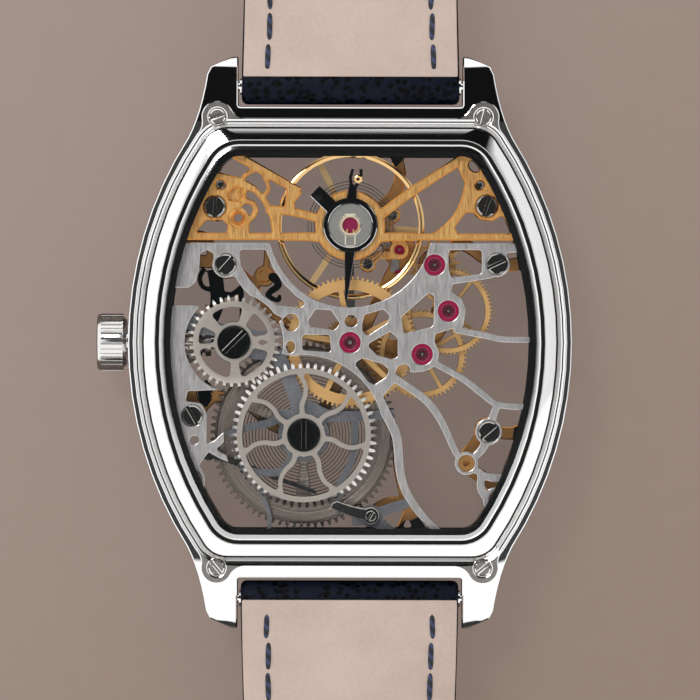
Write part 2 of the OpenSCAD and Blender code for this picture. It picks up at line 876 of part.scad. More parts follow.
module pinion(at, n, m, phase, z, h) {
  translate([at[0], at[1], z])
    linear_extrude(h)
      polygon(pinion_line(n, m, phase));
}

// An arbor with a slender pivot at each end
module arbor(at, z0, z1) {
  pivot_l = 0.45;
  translate([at[0], at[1], 0]) {
    translate([0, 0, z0])
      cylinder(r = pivot_r, h = pivot_l + 0.02);
    translate([0, 0, z0 + pivot_l])
      cylinder(r = arbor_r, h = z1 - z0 - 2 * pivot_l);
    translate([0, 0, z1 - pivot_l - 0.02])
      cylinder(r = pivot_r, h = pivot_l + 0.02);
  }
}
pivot_low = plate_z + 0.35;
pivot_high = bridge_top - 0.35;

// A wheel riveted on its arbor's seat
module train_wheel(at, n, m, phase, z, rim_in, hub, spokes, spoke_w, turn) {
  translate([at[0], at[1], z])
    difference() {
      linear_extrude(wheel_t)
        spoked(gear_line(n, m, phase), rim_in, hub, spokes, spoke_w, turn);
      translate([0, 0, -cut])
        cylinder(r = arbor_r, h = 2);
    }
}

third_phase_pinion = facing(third_at, centre_at);
centre_phase = facing(centre_at, third_at) + gap_turn(centre_teeth);
third_phase = facing(third_at, fourth_at) + gap_turn(third_teeth);
fourth_phase = facing(fourth_at, escape_at) + gap_turn(fourth_teeth);
centre_hub = 0.85;

module centre_wheel() {
  color("goldenrod")
    translate([0, 0, centre_z])
      difference() {
        linear_extrude(wheel_t + 0.02)
          spoked(gear_line(centre_teeth, centre_m, centre_phase), centre_m * centre_teeth / 2 - 1.15,
            1.2, 5, 0.62, 100);
        translate([0, 0, -cut])
          cylinder(r = centre_hub, h = 2);
      }
}

module centre_pinion() {
  post_r = 0.4;
  color("silver") {
    pinion(centre_at, centre_leaves, barrel_m, facing(centre_at, barrel_at), plate_top + 0.12, 1.15);
    hole_through(centre_at, 0.6, plate_top + 1.2, centre_z - plate_top - 1.2);
    hole_through(centre_at, centre_hub, centre_z - 0.05, wheel_t + 0.12);
    hole_through(centre_at, pivot_r * 1.6, centre_z + wheel_t, pivot_high - centre_z - wheel_t);
    hole_through(centre_at, post_r, minute_hand_z + 0.2, plate_top - minute_hand_z);
  }
}

module third_wheel() {
  color("goldenrod")
    train_wheel(third_at, third_teeth, third_m, third_phase, third_z, third_m * third_teeth / 2 - 0.65,
      0.75, 4, 0.42, 30);
}

module third_pinion() {
  color("silver") {
    pinion(third_at, third_leaves, centre_m, third_phase_pinion, centre_z - 0.15, 0.38);
    arbor(third_at, pivot_low, pivot_high);
  }
}

module fourth_wheel() {
  color("goldenrod")
    train_wheel(fourth_at, fourth_teeth, fourth_m, fourth_phase, fourth_z,
        fourth_m * fourth_teeth / 2 - 0.6,
      0.7, 4, 0.4, 52);
}

module fourth_pinion() {
  color("silver") {
    pinion(fourth_at, fourth_leaves, third_m, facing(fourth_at, third_at), third_z - 0.2, 0.55);
    arbor(fourth_at, pivot_low, pivot_high);
  }
}

module escape_wheel() {
  root_r = 1.95;
  color("goldenrod")
    translate([escape_at[0], escape_at[1], escape_z])
      difference() {
        linear_extrude(wheel_t)
          offset(delta = 0.001) {
            difference() {
              polygon([for (i = [0 : escape_teeth - 1]) for (p = [[0, root_r], [6, escape_r - 0.05],
                [8.5, escape_r], [10, root_r + 0.05]]) let (a = 24 * i + p[0]) p[1] * [cos(a), sin(a)]]);
              circle(r = root_r - 0.35);
            }
            circle(r = 0.6);
            for (i = [0 : 3])
              rotate(90 * i)
                translate([0, -0.15])
                  square([root_r - 0.2, 0.3]);
          }
        translate([0, 0, -cut])
          cylinder(r = arbor_r, h = 2);
      }
}

module escape_pinion() {
  color("silver") {
    pinion(escape_at, escape_leaves, fourth_m, facing(escape_at, fourth_at), fourth_z - 0.2, 0.55);
    arbor(escape_at, pivot_low, pivot_high);
  }
}

// Escapement. The stones stay just outside the tooth tips.

stone_gap = 0.22;
function stone_at(turn) =
  escape_at + (escape_r + stone_gap + 0.05) * [cos(turn), sin(turn)];
stone_turns = [118, 190];
stone_l = 0.9;
stone_w = 0.3;
function stone_out(turn) = escape_at + (escape_r + stone_gap + stone_l) * [cos(turn), sin(turn)];

module pallet_fork() {
  to_balance = (balance_at - pallet_at) / span(balance_at, pallet_at);
  across = [-to_balance[1], to_balance[0]];
  lever_end = balance_at - to_balance * 1.25;
  color("lightgray") {
    difference() {
      plate(escape_z - 0.02, 0.22)
        eased(0.04)
          difference() {
            union() {
              polygon(ribbon([pallet_at, lever_end], 0.6, 0.36));
              polygon(ribbon([lever_end - across * 0.45, lever_end + across * 0.45], 0.4, 0.4));
              polygon(ribbon(bezier(pallet_at, pallet_at + [-0.3, 1.2], stone_out(stone_turns[0]),
                  6), 0.6, 0.75));
              polygon(ribbon(bezier(pallet_at, pallet_at + [-0.5, -0.9], stone_out(stone_turns[1]),
                  6), 0.6, 0.75));
              translate(pallet_at)
                circle(r = 0.6);
            }
            for (a = stone_turns)
              polygon(ribbon([escape_at + escape_r * [cos(a), sin(a)], stone_out(a)],
                stone_w + 0.02, stone_w + 0.02));
          }
      hole_through(pallet_at, arbor_r - 0.08, 0, 12);
    }
    arbor_short(pallet_at, pivot_low, pallet_bridge_z + 0.32);
  }
}

module arbor_short(at, z0, z1) {
  translate([at[0], at[1], 0]) {
    translate([0, 0, z0])
      cylinder(r = pivot_r, h = z1 - z0);
    translate([0, 0, z0 + 0.4])
      cylinder(r = arbor_r - 0.08, h = pallet_bridge_z - touch_gap - z0 - 0.4);
  }
}

module pallet_stones() {
  color("crimson")
    plate(escape_z - 0.08, 0.34)
      for (a = stone_turns)
        polygon(ribbon([stone_at(a), stone_out(a) - 0.02 * [cos(a), sin(a)]], stone_w, stone_w));
}

// Balance

module balance_wheel() {
  arm_turns = [116, 236, 356];
  color("gold")
    translate([balance_at[0], balance_at[1], 0])
      difference() {
        union() {
          ring([0, 0], rim_r, rim_r - rim_w, rim_z, rim_t);
          for (a = arm_turns)
            rotate([0, 0, a])
              translate([0, -0.28, rim_z + 0.1])
                cube([rim_r - rim_w + 0.1, 0.56, wheel_t]);
          translate([0, 0, rim_z + 0.1])
            cylinder(r = 0.95, h = wheel_t);
        }
        translate([0, 0, 0])
          cylinder(r = staff_seat_r, h = 12);
      }
}
staff_seat_r = 0.45;
roller_r = 1.05;

module balance_staff() {
  to_pallet = facing(balance_at, pallet_at);
  collet_r = hairspring_inner - hairspring_t / 2 - 0.12;
  color("silver")
    translate([balance_at[0], balance_at[1], 0]) {
      translate([0, 0, pivot_low])
        cylinder(r = 0.09, h = 7.05 - pivot_low);
      translate([0, 0, 4.45])
        cylinder(r = staff_seat_r, h = 1.9 - 0.2);
      translate([0, 0, 4.45])
        cylinder(r = roller_r, h = 0.25);
      translate([0, 0, hairspring_z - 0.02])
        cylinder(r = collet_r, h = hairspring_h + 0.04);
    }
  color("crimson")
    translate([balance_at[0], balance_at[1], 0])
      rotate([0, 0, to_pallet])
        translate([0.8, 0, 4.28])
          cylinder(r = 0.14, h = 0.17);
}

module hairspring() {
  color("lightsteelblue")
    translate([balance_at[0], balance_at[1], hairspring_z])
      linear_extrude(hairspring_h)
        rotate(stud_turn)
          polygon(ribbon(hairspring_line, hairspring_t, hairspring_t));
}

setting_r = 2.0;
setting_z = bridge_top - 0.9;
module shock_setting() {
  color("silver")
    translate([balance_at[0], balance_at[1], 0])
      difference() {
        union() {
          translate([0, 0, setting_z])
            cylinder(r = bridge_bore_r - touch_gap, h = 0.9);
          translate([0, 0, bridge_top])
            cylinder(r = setting_r, h = 0.28);
        }
        translate([0, 0, bridge_top + 0.1])
          cylinder(r = 0.95, h = 1);
        translate([0, 0, bridge_top - 0.15])
          cylinder(r = 0.7, h = 1);
        translate([0, 0, 0])
          cylinder(r = 0.09 + running_gap, h = 12);
      }
}
bridge_bore_r = 1.7;

module shock_spring() {
  color("gold")
    plate(bridge_top + 0.1, 0.1)
      translate(balance_at)
        offset(delta = 0.001) {
          difference() {
            circle(r = 0.9);
            circle(r = 0.72);
          }
          for (x = [-1, 1])
            polygon(ribbon([[x * 0.3, -0.8], [x * 0.28, -0.35]], 0.12, 0.12));
        }
}

module regulator() {
  ring_out = 2.47;
  tip = [-0.35, 3.85] - balance_at;
  color([0.05, 0.05, 0.05])
    difference() {
      plate(bridge_top + touch_gap, 0.3)
        translate(balance_at)
          eased(0.04) {
            difference() {
              circle(r = ring_out, $fn = 96);
              circle(r = setting_r + running_gap + 0.05, $fn = 96);
            }
            polygon([[-0.5, -ring_out + 0.15], [0.45, -ring_out + 0.15], tip + [0.12, 0],
                tip + [-0.12, 0]]);
            polygon([[-0.35, ring_out - 0.1], [0.55, ring_out - 0.1], [0.62, 3.6], [-0.1, 3.6]]);
            polygon(ribbon([[0.1, 3.4], [0.0, 4.3], [0.25, 5.05]], 0.3, 0.3));
            polygon(ribbon([[0.5, 3.4], [0.98, 4.3], [0.95, 5.05]], 0.3, 0.3));
          }
      translate([balance_at[0], balance_at[1], 0])
        cylinder(r = setting_r + running_gap, h = 12);
    }
  color("gold")
    translate([balance_at[0] + 0.58, balance_at[1] + hairspring_outer,
        hairspring_z + hairspring_h + touch_gap])
      cylinder(r = 0.16, h = bridge_top + 0.45 - hairspring_z - hairspring_h - touch_gap);
}

module stud_carrier() {
  color([0.05, 0.05, 0.05])
    difference() {
      plate(bridge_top + touch_gap + 0.32, 0.2)
        translate(balance_at)
          eased(0.05) {
            circle(r = 2.42, $fn = 96);
            polygon(turned(ribbon([[2.1, 0], [hairspring_outer + 0.35, 0]], 1.25, 1.25), stud_turn));
          }
      translate([balance_at[0], balance_at[1], 0])
        cylinder(r = setting_r - 0.02, h = 12);
    }
  color("lightgray")
    translate([balance_at[0], balance_at[1], hairspring_z + hairspring_h])
      rotate([0, 0, stud_turn])
        translate([hairspring_outer, 0, 0])
          cylinder(r = 0.25, h = bridge_top + 0.7 - hairspring_z - hairspring_h);
}

// Plates and bridges

module movement_area(inset = 0) {
  polygon(cavity_line(movement_inset + inset));
}

screw_spots = [[-11.2, 7], [13.2, 7.1], [12.5, -8], [-14.2, -6.6], [-12.2, 12.2], [12.3, 12.3]];
screw_turns = [48, 25, 40, 120, 88, 70];
screw_head_r = 0.95;
screw_head_h = 0.45;
jewel_spots = [centre_at, third_at, fourth_at, escape_at];
jewel_r = 0.97;
jewel_seat = 0.35;

module main_plate() {
  boss = 1.5;
  color("orange")
    difference() {
      union() {
        hole_through(dowel_at, dowel_r, plate_z, bridge_top - 0.25 - plate_z);
        plate(plate_z, plate_t)
          intersection() {
            movement_area();
            eased(0.2) {
              difference() {
                movement_area();
                movement_area(0.5);
              }
              for (p = concat(jewel_spots, [barrel_at, balance_at, pallet_at]))
                translate(p)
                  circle(r = boss);
              translate(balance_at)
                circle(r = 2.2);
              for (p = screw_spots)
                translate(p)
                  circle(r = 1.25);
              rib([[0, 0], [3.2, -0.3], third_at], 1.4, 1.4);
              rib([third_at, [7.9, 0.8], fourth_at], 1.2, 1.2);
              rib([fourth_at, [8.5, 5], escape_at], 1.2, 1.2);
              rib([escape_at, [10, 8.9], [13.2, 7.1], [16, 7.3]], 1.1, 1.2);
              rib([[0, 0], [-3.4, 0.6], [-6, 1.9], [-7.6, 3.3], [-8.6, 4.9], [-7.75, 6], [-7.5,
                  8.6]], 1.2, 0.5);
              rib([[-8.6, 4.9], [-10.6, 6.6], [-12.6, 8.6], [-13.4, 9.5], [-15.6, 9.5]], 1, 1.2);
              rib([[-15.6, 9.4], [-14.2, 11.2], [-12.2, 12.2], [-12.6, 14.4]], 1.1, 1.2);
              rib([balance_at, pallet_at, [3.6, 6], [2.2, 3.2], [1.2, 0.8]], 1.2, 1);
              rib([balance_at, [3.4, 12.7], [4.5, 14.8], [4.1, 17.2]], 1.3, 1);
              rib([[16.6, -7.4], [14.6, -8.2], [12.5, -8], [11.4, -9.2], dowel_at, [12.6, -12.6],
                  [14.6, -14]], 1.1, 1.3);
              rib([[2.2, -15], [3.6, -14.4], [5, -14.6], [5.7, -15.6], [6.6, -17.4]], 0.7, 1.1);
              rib([[5.2, -15.2], [4.3, -17.3]], 0.5, 0.5);
              rib([[0, 0], [2.2, -4.4], [3.9, -8.6], [4.3, -11.6], [5, -14.6]], 0.6, 0.6);
              rib([barrel_at, [-1.4, -4.4], [0, 0]], 1.1, 1.1);
              rib([barrel_at, [-7, -7.6], [-9.6, -5.4], [-12.4, -5], [-14.2, -6.6], [-16.2, -6.3]],
                  0.8, 1.3);
              rib([[-16.4, 6.6], [-14.4, 7.3], [-11.2, 7], [-9, 5.4]], 1.4, 0.9);
              rib([[-14.2, -6.6], [-14.6, -3.9], [-16.4, -3.6]], 1, 1.2);
              translate([-7.75, 6])
                circle(r = 0.95);
              translate(click_pivot)
                circle(r = 0.9);
            }
          }
      }
      hole_through(dowel_at, 0.3, bridge_z, 3);
      for (p = jewel_spots)
        hole_through(p, p == centre_at ? 0.4 + running_gap : jewel_r * 0.7, 0, 12);
      hole_through(pallet_at, jewel_r * 0.7, 0, 12);
      hole_through(balance_at, jewel_r * 0.7, 0, 12);
      hole_through(barrel_at, arbor_pivot_r + running_gap, plate_z + 0.1, 12);
      for (p = screw_spots)
        hole_through(p, 0.4, plate_z + 0.2, 12);
      hole_through([-7.75, 6], 0.5, plate_top - 0.25, 12);
      translate([0, 0, stem_z])
        rotate([0, -90, 0])
          cylinder(r = winding_tip_r + 0.12, h = case_w);
      for (p = [[-4.6, 3.1], [4.5, 3.6]])
        hole_through(p, 0.3, 0, 12);
      hole_through(minute_wheel_at, minute_post_r, plate_z - 1, 1.3);
    }
}

recess_ratchet_r = 7.2;
recess_crown_r = 4.45;
train_windows = [
  [[-10, 8.35], [-7.6, 8.35], [-6.9, 6.6], [-5.95, 5.25], [-4.9, 4.2], [-4, 3.6], [-4.4, 3.1],
   [-6.5, 3.35], [-7.9, 4.3], [-9.1, 5.7], [-9.85, 6.9]],
  [[-3.8, 1.9], [-3.1, 3], [-1.7, 2.9], [-0.9, 1.7], [-1.4, 1.1], [-3.6, 1.4]],
  [[-4.3, 0.7], [-1.8, 0.7], [-1.7, -0.9], [-4.3, -0.7]],
  [[1.1, 1.7], [1.3, 2.5], [3, 3], [3.6, 2.4], [3.4, 1.8], [1.6, 0.6], [1.1, 1]],
  [[1.5, -0.2], [3.6, 1], [4.3, 0.4], [4.3, -1.3], [3.8, -1.5], [2.4, -1.1]],
  [[0.4, -1.9], [1.1, -1.4], [2.9, -1.9], [3.5, -2.4], [3.4, -3], [2.2, -3.8], [1.6, -3.5]],
  [[4.6, 2.3], [7.1, 4.5], [7.6, 4.2], [7.5, 1.6], [7.3, 1.4], [4.8, 0.8]],
  [[8.85, 8.35], [11.85, 8.35], [11.85, 6.2], [9.1, 5.85], [8.85, 6.6]],
  [[4, -2.9], [4.3, -2.1], [5.1, -1.9], [5.5, -2.4], [4.8, -3.5], [4.2, -3.3]]];

module train_field() {
  difference() {
    union() {
      polygon(concat([[-17, 8.95], [-7.3, 8.95]],
        arc(balance_at, 7.4, 192.5, 347.5, 20),
        [[7.2, 8.95], [17, 8.95], [17, 8.3], [14.2, 8.1], [13.2, 5.95], [12.6, 5.8], [11.1, 5.55],
            [9.2, 5.25],
         [9.1, 4.6], [10, 4], [10.4, 2.9], [10.2, 1.6], [8.7, 1.1], [7.7, 0.8], [7.6, 0.2],
         [8, -0.9], [7.9, -1.7], [6.6, -2.6], [5.4, -2.7], [4, -3.6], [3, -4.8], [1.9, -5.2],
         [-0.2, -3.4], [-4, -1.6], [-8, -0.5], [-6.1, 2.2], [-7.6, 3], [-8.6, 3.8], [-9.7, 4.9],
         [-10.4, 5.9], [-11.2, 5.9], [-12.25, 6.9], [-12.3, 8], [-12.9, 8.3], [-13.5, 8], [-13.6, 6.6],
         [-13.9, 5.4], [-14.6, 4.9], [-17, 4.9]]));
      for (p = [third_at, fourth_at])
        translate(p)
          circle(r = 1.5);
      for (i = [0, 1])
        translate(screw_spots[i])
          circle(r = screw_head_r + 0.25);
    }
    for (w = train_windows)
      opening(w, 0.28);
    translate([-5.3, 1.8])
      scale([0.72, 0.8])
        circle(r = 1);
    translate([-5.35, -0.4])
      scale([0.42, 0.55])
        circle(r = 1);
    translate([0.1, 1.95])
      scale([0.6, 0.55])
        circle(r = 1);
  }
}

dowel_at = [10.5, -10.85];
dowel_r = 0.74;
module train_ribs() {
  rib([[9.4, 1.2], [12.4, 0.6], [14, 0.3], [17, 0.3]], 0.6, 0.5);
  rib([[7.4, -1.7], [10.1, -3.2], [11.8, -4.5], [13.5, -5.6], [17, -5.8]], 0.6, 0.55);
  rib([[13.3, -5.5], [12.9, -6.6], [12.5, -8]], 0.55, 0.8);
  rib([[3.4, -2.8], [6, -4.5], [7.3, -5.7], [8.4, -7.4], [9.5, -9.8], [10.5, -11]], 0.75, 0.5);
  rib([[12.5, -8], [11.9, -9.6], [10.5, -10.85]], 0.9, 0.5);
  rib([[10.9, -11.3], [11.8, -11.8], [11.9, -13.3], [13.6, -15.4]], 0.6, 0.8);
  rib([[11.6, -11.8], [13.4, -12.2], [16, -11.8]], 0.6, 0.9);
  rib([[2.2, -4.2], [3.2, -6.3], [4.2, -8.5], [4.5, -11.4], [5.1, -13.5], [6.7, -15.8], [8.6,
      -17.6]], 0.9, 0.6);
  translate([12.5, -8])
    circle(r = 1.2);
  translate(dowel_at)
    circle(r = 1.05);
  translate([13.2, -14.2])
    circle(r = 1.2);
}

module left_wing() {
  polygon([[-17, 3.3], [-13.7, 3.3], [-13, 2], [-13, -3.3], [-11.9, -3.7], [-12, -4.3], [-14.6, -4.4],
    [-14.8, -5.3], [-13.4, -5.5], [-12.9, -6.4], [-12.9, -9.1], [-12.5, -9.6], [-13.4, -10.8],
        [-14.1, -12.2],
    [-17, -6]]);
  rib([[-12.9, -9.5], [-12.1, -9.2], [-11.2, -8.4], [-10.2, -7.9]], 0.75, 0.6);
  rib([[-12.9, -9.4], [-11.6, -10.2], [-10.3, -10.7], [-9, -11]], 0.6, 0.45);
  rib([[-13.7, -11.2], [-13.2, -12.2], [-13.4, -13.6], [-13.8, -15]], 0.35, 0.3);
}

module recess_arms() {
  translate(barrel_at)
    circle(r = 2.3);
  rib([barrel_at, [-4.7, -5.6], [-5.4, -3.6], [-6.6, -1]], 1.3, 1.3);
  rib([[-4.6, -5.4], [-2.4, -6.45], [-1, -6.65], [1.3, -6.6], [4, -6.4]], 1.2, 0.75);
  rib([[0.45, -6.6], [0.4, -9.6], [0, -11], [-0.9, -12.9], [-1.2, -14.4]], 0.65, 0.6);
  rib([barrel_at, [-5.8, -6.4], [-7.1, -7.2], [-9.2, -7.7], [-11, -8.3]], 0.9, 0.6);
  rib([barrel_at, [-5.2, -10.3], [-6.2, -11.6], [-8.3, -11.7], [-10, -11]], 0.9, 0.5);
  rib([[-8.3, -11.5], [-8.1, -13], [-7.4, -15], [-7.2, -16], [-7.4, -17.6]], 0.4, 0.35);
  rib([[0.2, -15.9], [2.3, -16.1], [4.2, -17.6]], 1.2, 1);
  rib([click_pivot, [3.8, -14.9], [5.4, -14.4]], 1, 0.8);
  translate(click_pivot)
    circle(r = 1);
  translate(crown_wheel_at)
    circle(r = 1.9);
  rib([crown_wheel_at, [-13, 1.4], [-14.6, 2]], 1.9, 1.6);
  rib([crown_wheel_at, [-8.5, -0.2], [-5.6, -0.6]], 2.6, 2.6);
}

module train_bridge() {
  arm_t = recess_z - bridge_z;
  color("lightsteelblue")
    difference() {
      union() {
        plate(bridge_z, bridge_t)
          intersection() {
            movement_area(0.02);
            difference() {
              eased(0.16) {
                train_field();
                train_ribs();
                left_wing();
              }
              translate(barrel_at)
                circle(r = recess_ratchet_r, $fn = 120);
              translate(crown_wheel_at)
                circle(r = recess_crown_r, $fn = 96);
            }
          }
        plate(bridge_z, arm_t)
          intersection() {
            movement_area(0.02);
            eased(0.14)
              recess_arms();
          }
      }
      for (p = jewel_spots)
        hole_through(p, jewel_r, bridge_top - jewel_seat - 0.35, 2);
      for (p = jewel_spots)
        hole_through(p, 0.3, 0, 12);
      for (i = [0 : 3]) {
        hole_through(screw_spots[i], 0.45, 0, 12);
        hole_through(screw_spots[i], screw_head_r + touch_gap, bridge_top - 0.25, 2);
      }
      hole_through(barrel_at, arbor_pivot_r + running_gap, 0, 12);
      hole_through(crown_wheel_at, crown_core_r, bridge_z + 0.15, 2);
      hole_through(dowel_at, dowel_r + running_gap, 0, 12);
      hole_through([-14, -8.8], 0.4, 0, 12);
      hole_through([13.3, -14.1], 0.75, 0, 12);
      hole_through(click_pivot, 0.3, bridge_z + 0.15, 2);
      plate(click_spring_z - cut, click_spring_t + cut)
        offset(delta = touch_gap)
          click_spring_plan();
      plate(ratchet_z - touch_gap, 2)
        offset(delta = click_room)
          click_plan();
      translate([0, 0, stem_z])
        rotate([0, -90, 0])
          cylinder(r = winding_tip_r + 0.08, h = case_w);
    }
}

joint_line_y = 9.05;
pocket_d = 0.5;
balance_hub_r = 3.15;
module balance_plan() {
  difference() {
    union() {
      translate([-17, 9.2])
        square([34, 0.63]);
      difference() {
        polygon([[-17, 9.4], [-17, 15], [-12, 15.35], [-9.8, 14.8], [-8.55, 14.1], [-7.7, 13.2],
          [-7.1, 12.3], [-6.6, 11.8], [-6.6, 9.4]]);
        opening([[-14.1, 9.86], [-13.6, 10.3], [-12.96, 11], [-11.52, 11], [-11.03, 10.6], [-11.1,
            9.86]], 0.2);
        opening([[-7.05, 9.86], [-7.2, 11.03], [-7.56, 11.93], [-8.01, 12.74], [-8.64, 13.45],
            [-9.3, 13.75],
          [-9.4, 13.05], [-8.55, 12.7], [-8.25, 11.93], [-8.5, 11.3], [-9.05, 10.76], [-9.1, 9.86]], 0.14);
        opening([[-9.81, 12.2], [-9.45, 12.5], [-8.95, 12.4], [-8.73, 12], [-9, 11.35], [-9.4,
            11.75]], 0.12);
      }
      rib([[-11.6, 17.6], [-9.7, 16.5], [-5.2, 13.95], [-4.5, 13.6]], 0.8, 0.75);
      polygon([[-5.7, 14.2], [-4.3, 13.5], [-5, 12.6], [-4.9, 11.6], [-5.9, 11.6], [-5.9, 12.4]]);
      rib([[-7.6, 12], [-5.2, 11.75], [-2.6, 11.1]], 0.75, 0.75);
      rib([[-9.9, 14.4], [-9.4, 15.1], [-8.5, 15.6]], 0.4, 0.4);
      rib([[-7.8, 15], [-7.35, 13.9], [-7.9, 13]], 0.35, 0.35);
      polygon([[-7, 9.3], [-6.25, 9.3], [-6.3, 12], [-7.2, 12.1]]);
      rib([[2.6, 11.4], [3.4, 12], [5.4, 13.5], [9.8, 16.4], [11.4, 17.6]], 0.85, 0.85);
      polygon(concat([[9.6, 15.9], [10.8, 17.4], [17, 14], [17, 9.4], [7.2, 9.4]],
        bezier([7.2, 9.8], [9.8, 10.9], [10.3, 14.4], 8)));
      translate(balance_at)
        circle(r = balance_hub_r, $fn = 96);
      rib([[-6.2, 9.5], [-3.3, 9.5], [-2, 9.2]], 0.7, 0.9);
      rib([[6, 9.5], [3.3, 9.5], [2, 9.2]], 0.7, 0.9);
    }
    opening([[10.4, 11.7], [11.1, 11.7], [11.7, 11.1], [12.8, 10.95], [13.7, 11.5], [14.7, 9.83],
      [9.7, 9.83], [9.4, 10.4]], 0.25);
    translate([11.3, 16])
      circle(r = 0.6);
  }
}

module balance_bridge() {
  color("goldenrod")
    difference() {
      plate(bridge_z, bridge_t)
        intersection() {
          movement_area(0.02);
          difference() {
            eased(0.12)
              balance_plan();
            difference() {
              translate([-case_w, 0])
                square([2 * case_w, joint_line_y]);
              translate(balance_at)
                circle(r = balance_hub_r, $fn = 96);
            }
          }
        }
      hole_through(balance_at, bridge_bore_r, 0, 12);
      for (i = [4, 5]) {
        hole_through(screw_spots[i], 0.45, 0, 12);
        hole_through(screw_spots[i], screw_head_r + touch_gap, bridge_top - 0.25, 2);
      }
      for (x = [-11.7, 11.7])
        hole_through([x, 14.2], 0.45, 0, 12);
      hole_through([-10.1, 11.2], 0.36, 0, 12);
      translate([-10.1, 11.2, bridge_top - 0.5])
        cylinder(r1 = 0.36, r2 = 0.82, h = 0.51);
      plate(bridge_top - pocket_d, 2)
        difference() {
          opening([[-11.05, 13.45], [-10.35, 14.05], [-9.65, 13.8], [-9.6, 13.05], [-9.99, 12.7],
              [-10.9, 12.8]], 0.15);
          translate([-10.03, 13.4])
            circle(r = 0.2);
        }
    }
}

module pallet_bridge() {
  holes = [[3.8, 11.5], [1.6, 7.1]];
  color("goldenrod")
    difference() {
      union() {
        plate(pallet_bridge_z, 0.4)
          eased(0.1) {
            rib([[3.8, 11.5], [3.5, 10.4], [4.1, 9.2], pallet_at, [3.6, 7.9], [2.6, 7.9], [1.6,
                7.1]], 0.75, 0.75);
            for (p = holes)
              translate(p)
                circle(r = 0.75);
            translate(pallet_at)
              circle(r = 0.9);
          }
        for (p = holes)
          hole_through(p, 0.62, plate_top, pallet_bridge_z - plate_top + 0.05);
      }
      hole_through(pallet_at, 0.45, pallet_bridge_z + 0.1, 2);
      hole_through(pallet_at, 0.3, 0, 12);
      for (p = holes)
        hole_through(p, 0.36, 0, 12);
    }
}

module bridge_screws() {
  color([0.35, 0.35, 0.37]) {
    for (i = [0 : len(screw_spots) - 1])
      slotted_screw(screw_spots[i], screw_head_r, bridge_top - 0.25, screw_head_h, 0.38,
        plate_z + 0.25, screw_turns[i]);
    slotted_screw(crown_wheel_at, winding_screw_r, ratchet_z + keyless_wheel_t + touch_gap, 0.4,
      crown_core_r, bridge_z + 0.2, 45);
    slotted_screw(click_pivot, 0.5, ratchet_z + keyless_wheel_t, 0.3, 0.3 - 0.005, bridge_z + 0.2, 60);
    for (p = [[3.8, 11.5], [1.6, 7.1]])
      slotted_screw(p, 0.5, pallet_bridge_z + 0.4, 0.12, 0.35, plate_top + 0.1, 30);
  }
}

module jewels() {
  color("crimson") {
    for (p = jewel_spots)
      translate([p[0], p[1], bridge_top - jewel_seat - 0.3])
        difference() {
          union() {
            cylinder(r = jewel_r - 0.01, h = jewel_seat + 0.25);
          }
          translate([0, 0, -cut])
            cylinder(r = (p == centre_at ? pivot_r * 1.6 : pivot_r) + 0.02, h = 3);
          translate([0, 0, jewel_seat])
            cylinder(r1 = 0.16, r2 = 0.62, h = 0.26);
        }
    for (p = concat([third_at, fourth_at, escape_at, pallet_at], [balance_at]))
      ring(p, jewel_r * 0.7 - 0.01, (p == balance_at ? 0.09 : pivot_r) + 0.02, plate_z + 0.15,
          plate_t - 0.3);
    ring(pallet_at, 0.44, pivot_r + 0.02, pallet_bridge_z + 0.12, 0.25);
    translate([balance_at[0], balance_at[1], bridge_top - 0.13])
      difference() {
        cylinder(r = 0.68, h = 0.22);
        translate([0, 0, -cut])
          cylinder(r = 0.1, h = cut + 0.1);
      }
  }
}

// Dial side

minute_wheel_at = [2.2, -1.9];
minute_post_r = 0.35;
cannon_leaves = 12;
minute_teeth = 36;
minute_leaves = 10;
hour_teeth = 40;
cannon_m = 2 * norm(minute_wheel_at) / (cannon_leaves + minute_teeth);
hour_m = 2 * norm(minute_wheel_at) / (minute_leaves + hour_teeth);
cannon_r = 0.75;
hour_pipe_r = 0.82;

module cannon_pinion() {
  color("silver")
    difference() {
      union() {
        hole_through(centre_at, 0.62, minute_hand_z, plate_z - 0.1 - minute_hand_z);
        pinion(centre_at, cannon_leaves, cannon_m * 1.0, facing(centre_at, minute_wheel_at),
          motion_z + 0.16, plate_z - 0.05 - motion_z - 0.16);
      }
      hole_through(centre_at, 0.4, minute_hand_z + 0.2, 3);
    }
}

module minute_wheel() {
  color("goldenrod")
    difference() {
      union() {
        translate([minute_wheel_at[0], minute_wheel_at[1], motion_z + 0.2])
          linear_extrude(0.18)
            polygon(gear_line(minute_teeth, cannon_m,
              facing(minute_wheel_at, centre_at) + gap_turn(minute_teeth)));
        pinion(minute_wheel_at, minute_leaves, hour_m, facing(minute_wheel_at, centre_at),
          motion_z - 0.14, 0.35);
      }
      hole_through(minute_wheel_at, minute_post_r - 0.1 + running_gap, 0, 5);
    }
}

module hour_wheel() {
  color("goldenrod")
    difference() {
      union() {
        translate([0, 0, motion_z - 0.12])
          linear_extrude(0.16)
            polygon(gear_line(hour_teeth, hour_m, facing(centre_at,
                minute_wheel_at) + gap_turn(hour_teeth)));
        hole_through(centre_at, hour_pipe_r, hour_hand_z, motion_z - hour_hand_z);
      }
      hole_through(centre_at, 0.62 + running_gap, 0, 5);
    }
}

module hand(length, w, bore, z, eye) {
  plate(z, hand_t)
    difference() {
      offset(delta = 0.001) {
        polygon([[-w / 2, -length * 0.2], [w / 2, -length * 0.2], [w * 0.75, length * 0.45], [0, length],
          [-w * 0.75, length * 0.45]]);
        circle(r = eye);
      }
    }
}

module minute_hand() {
  color("silver")
    difference() {
      hand(13.4, 0.5, 0.62, minute_hand_z, 1.0);
      hole_through(centre_at, 0.62, 0, 3);
    }
}

module hour_hand() {
  color("silver")
    difference() {
      hand(8.6, 0.6, hour_pipe_r, hour_hand_z, 1.25);
      hole_through(centre_at, hour_pipe_r, 0, 3);
    }
}

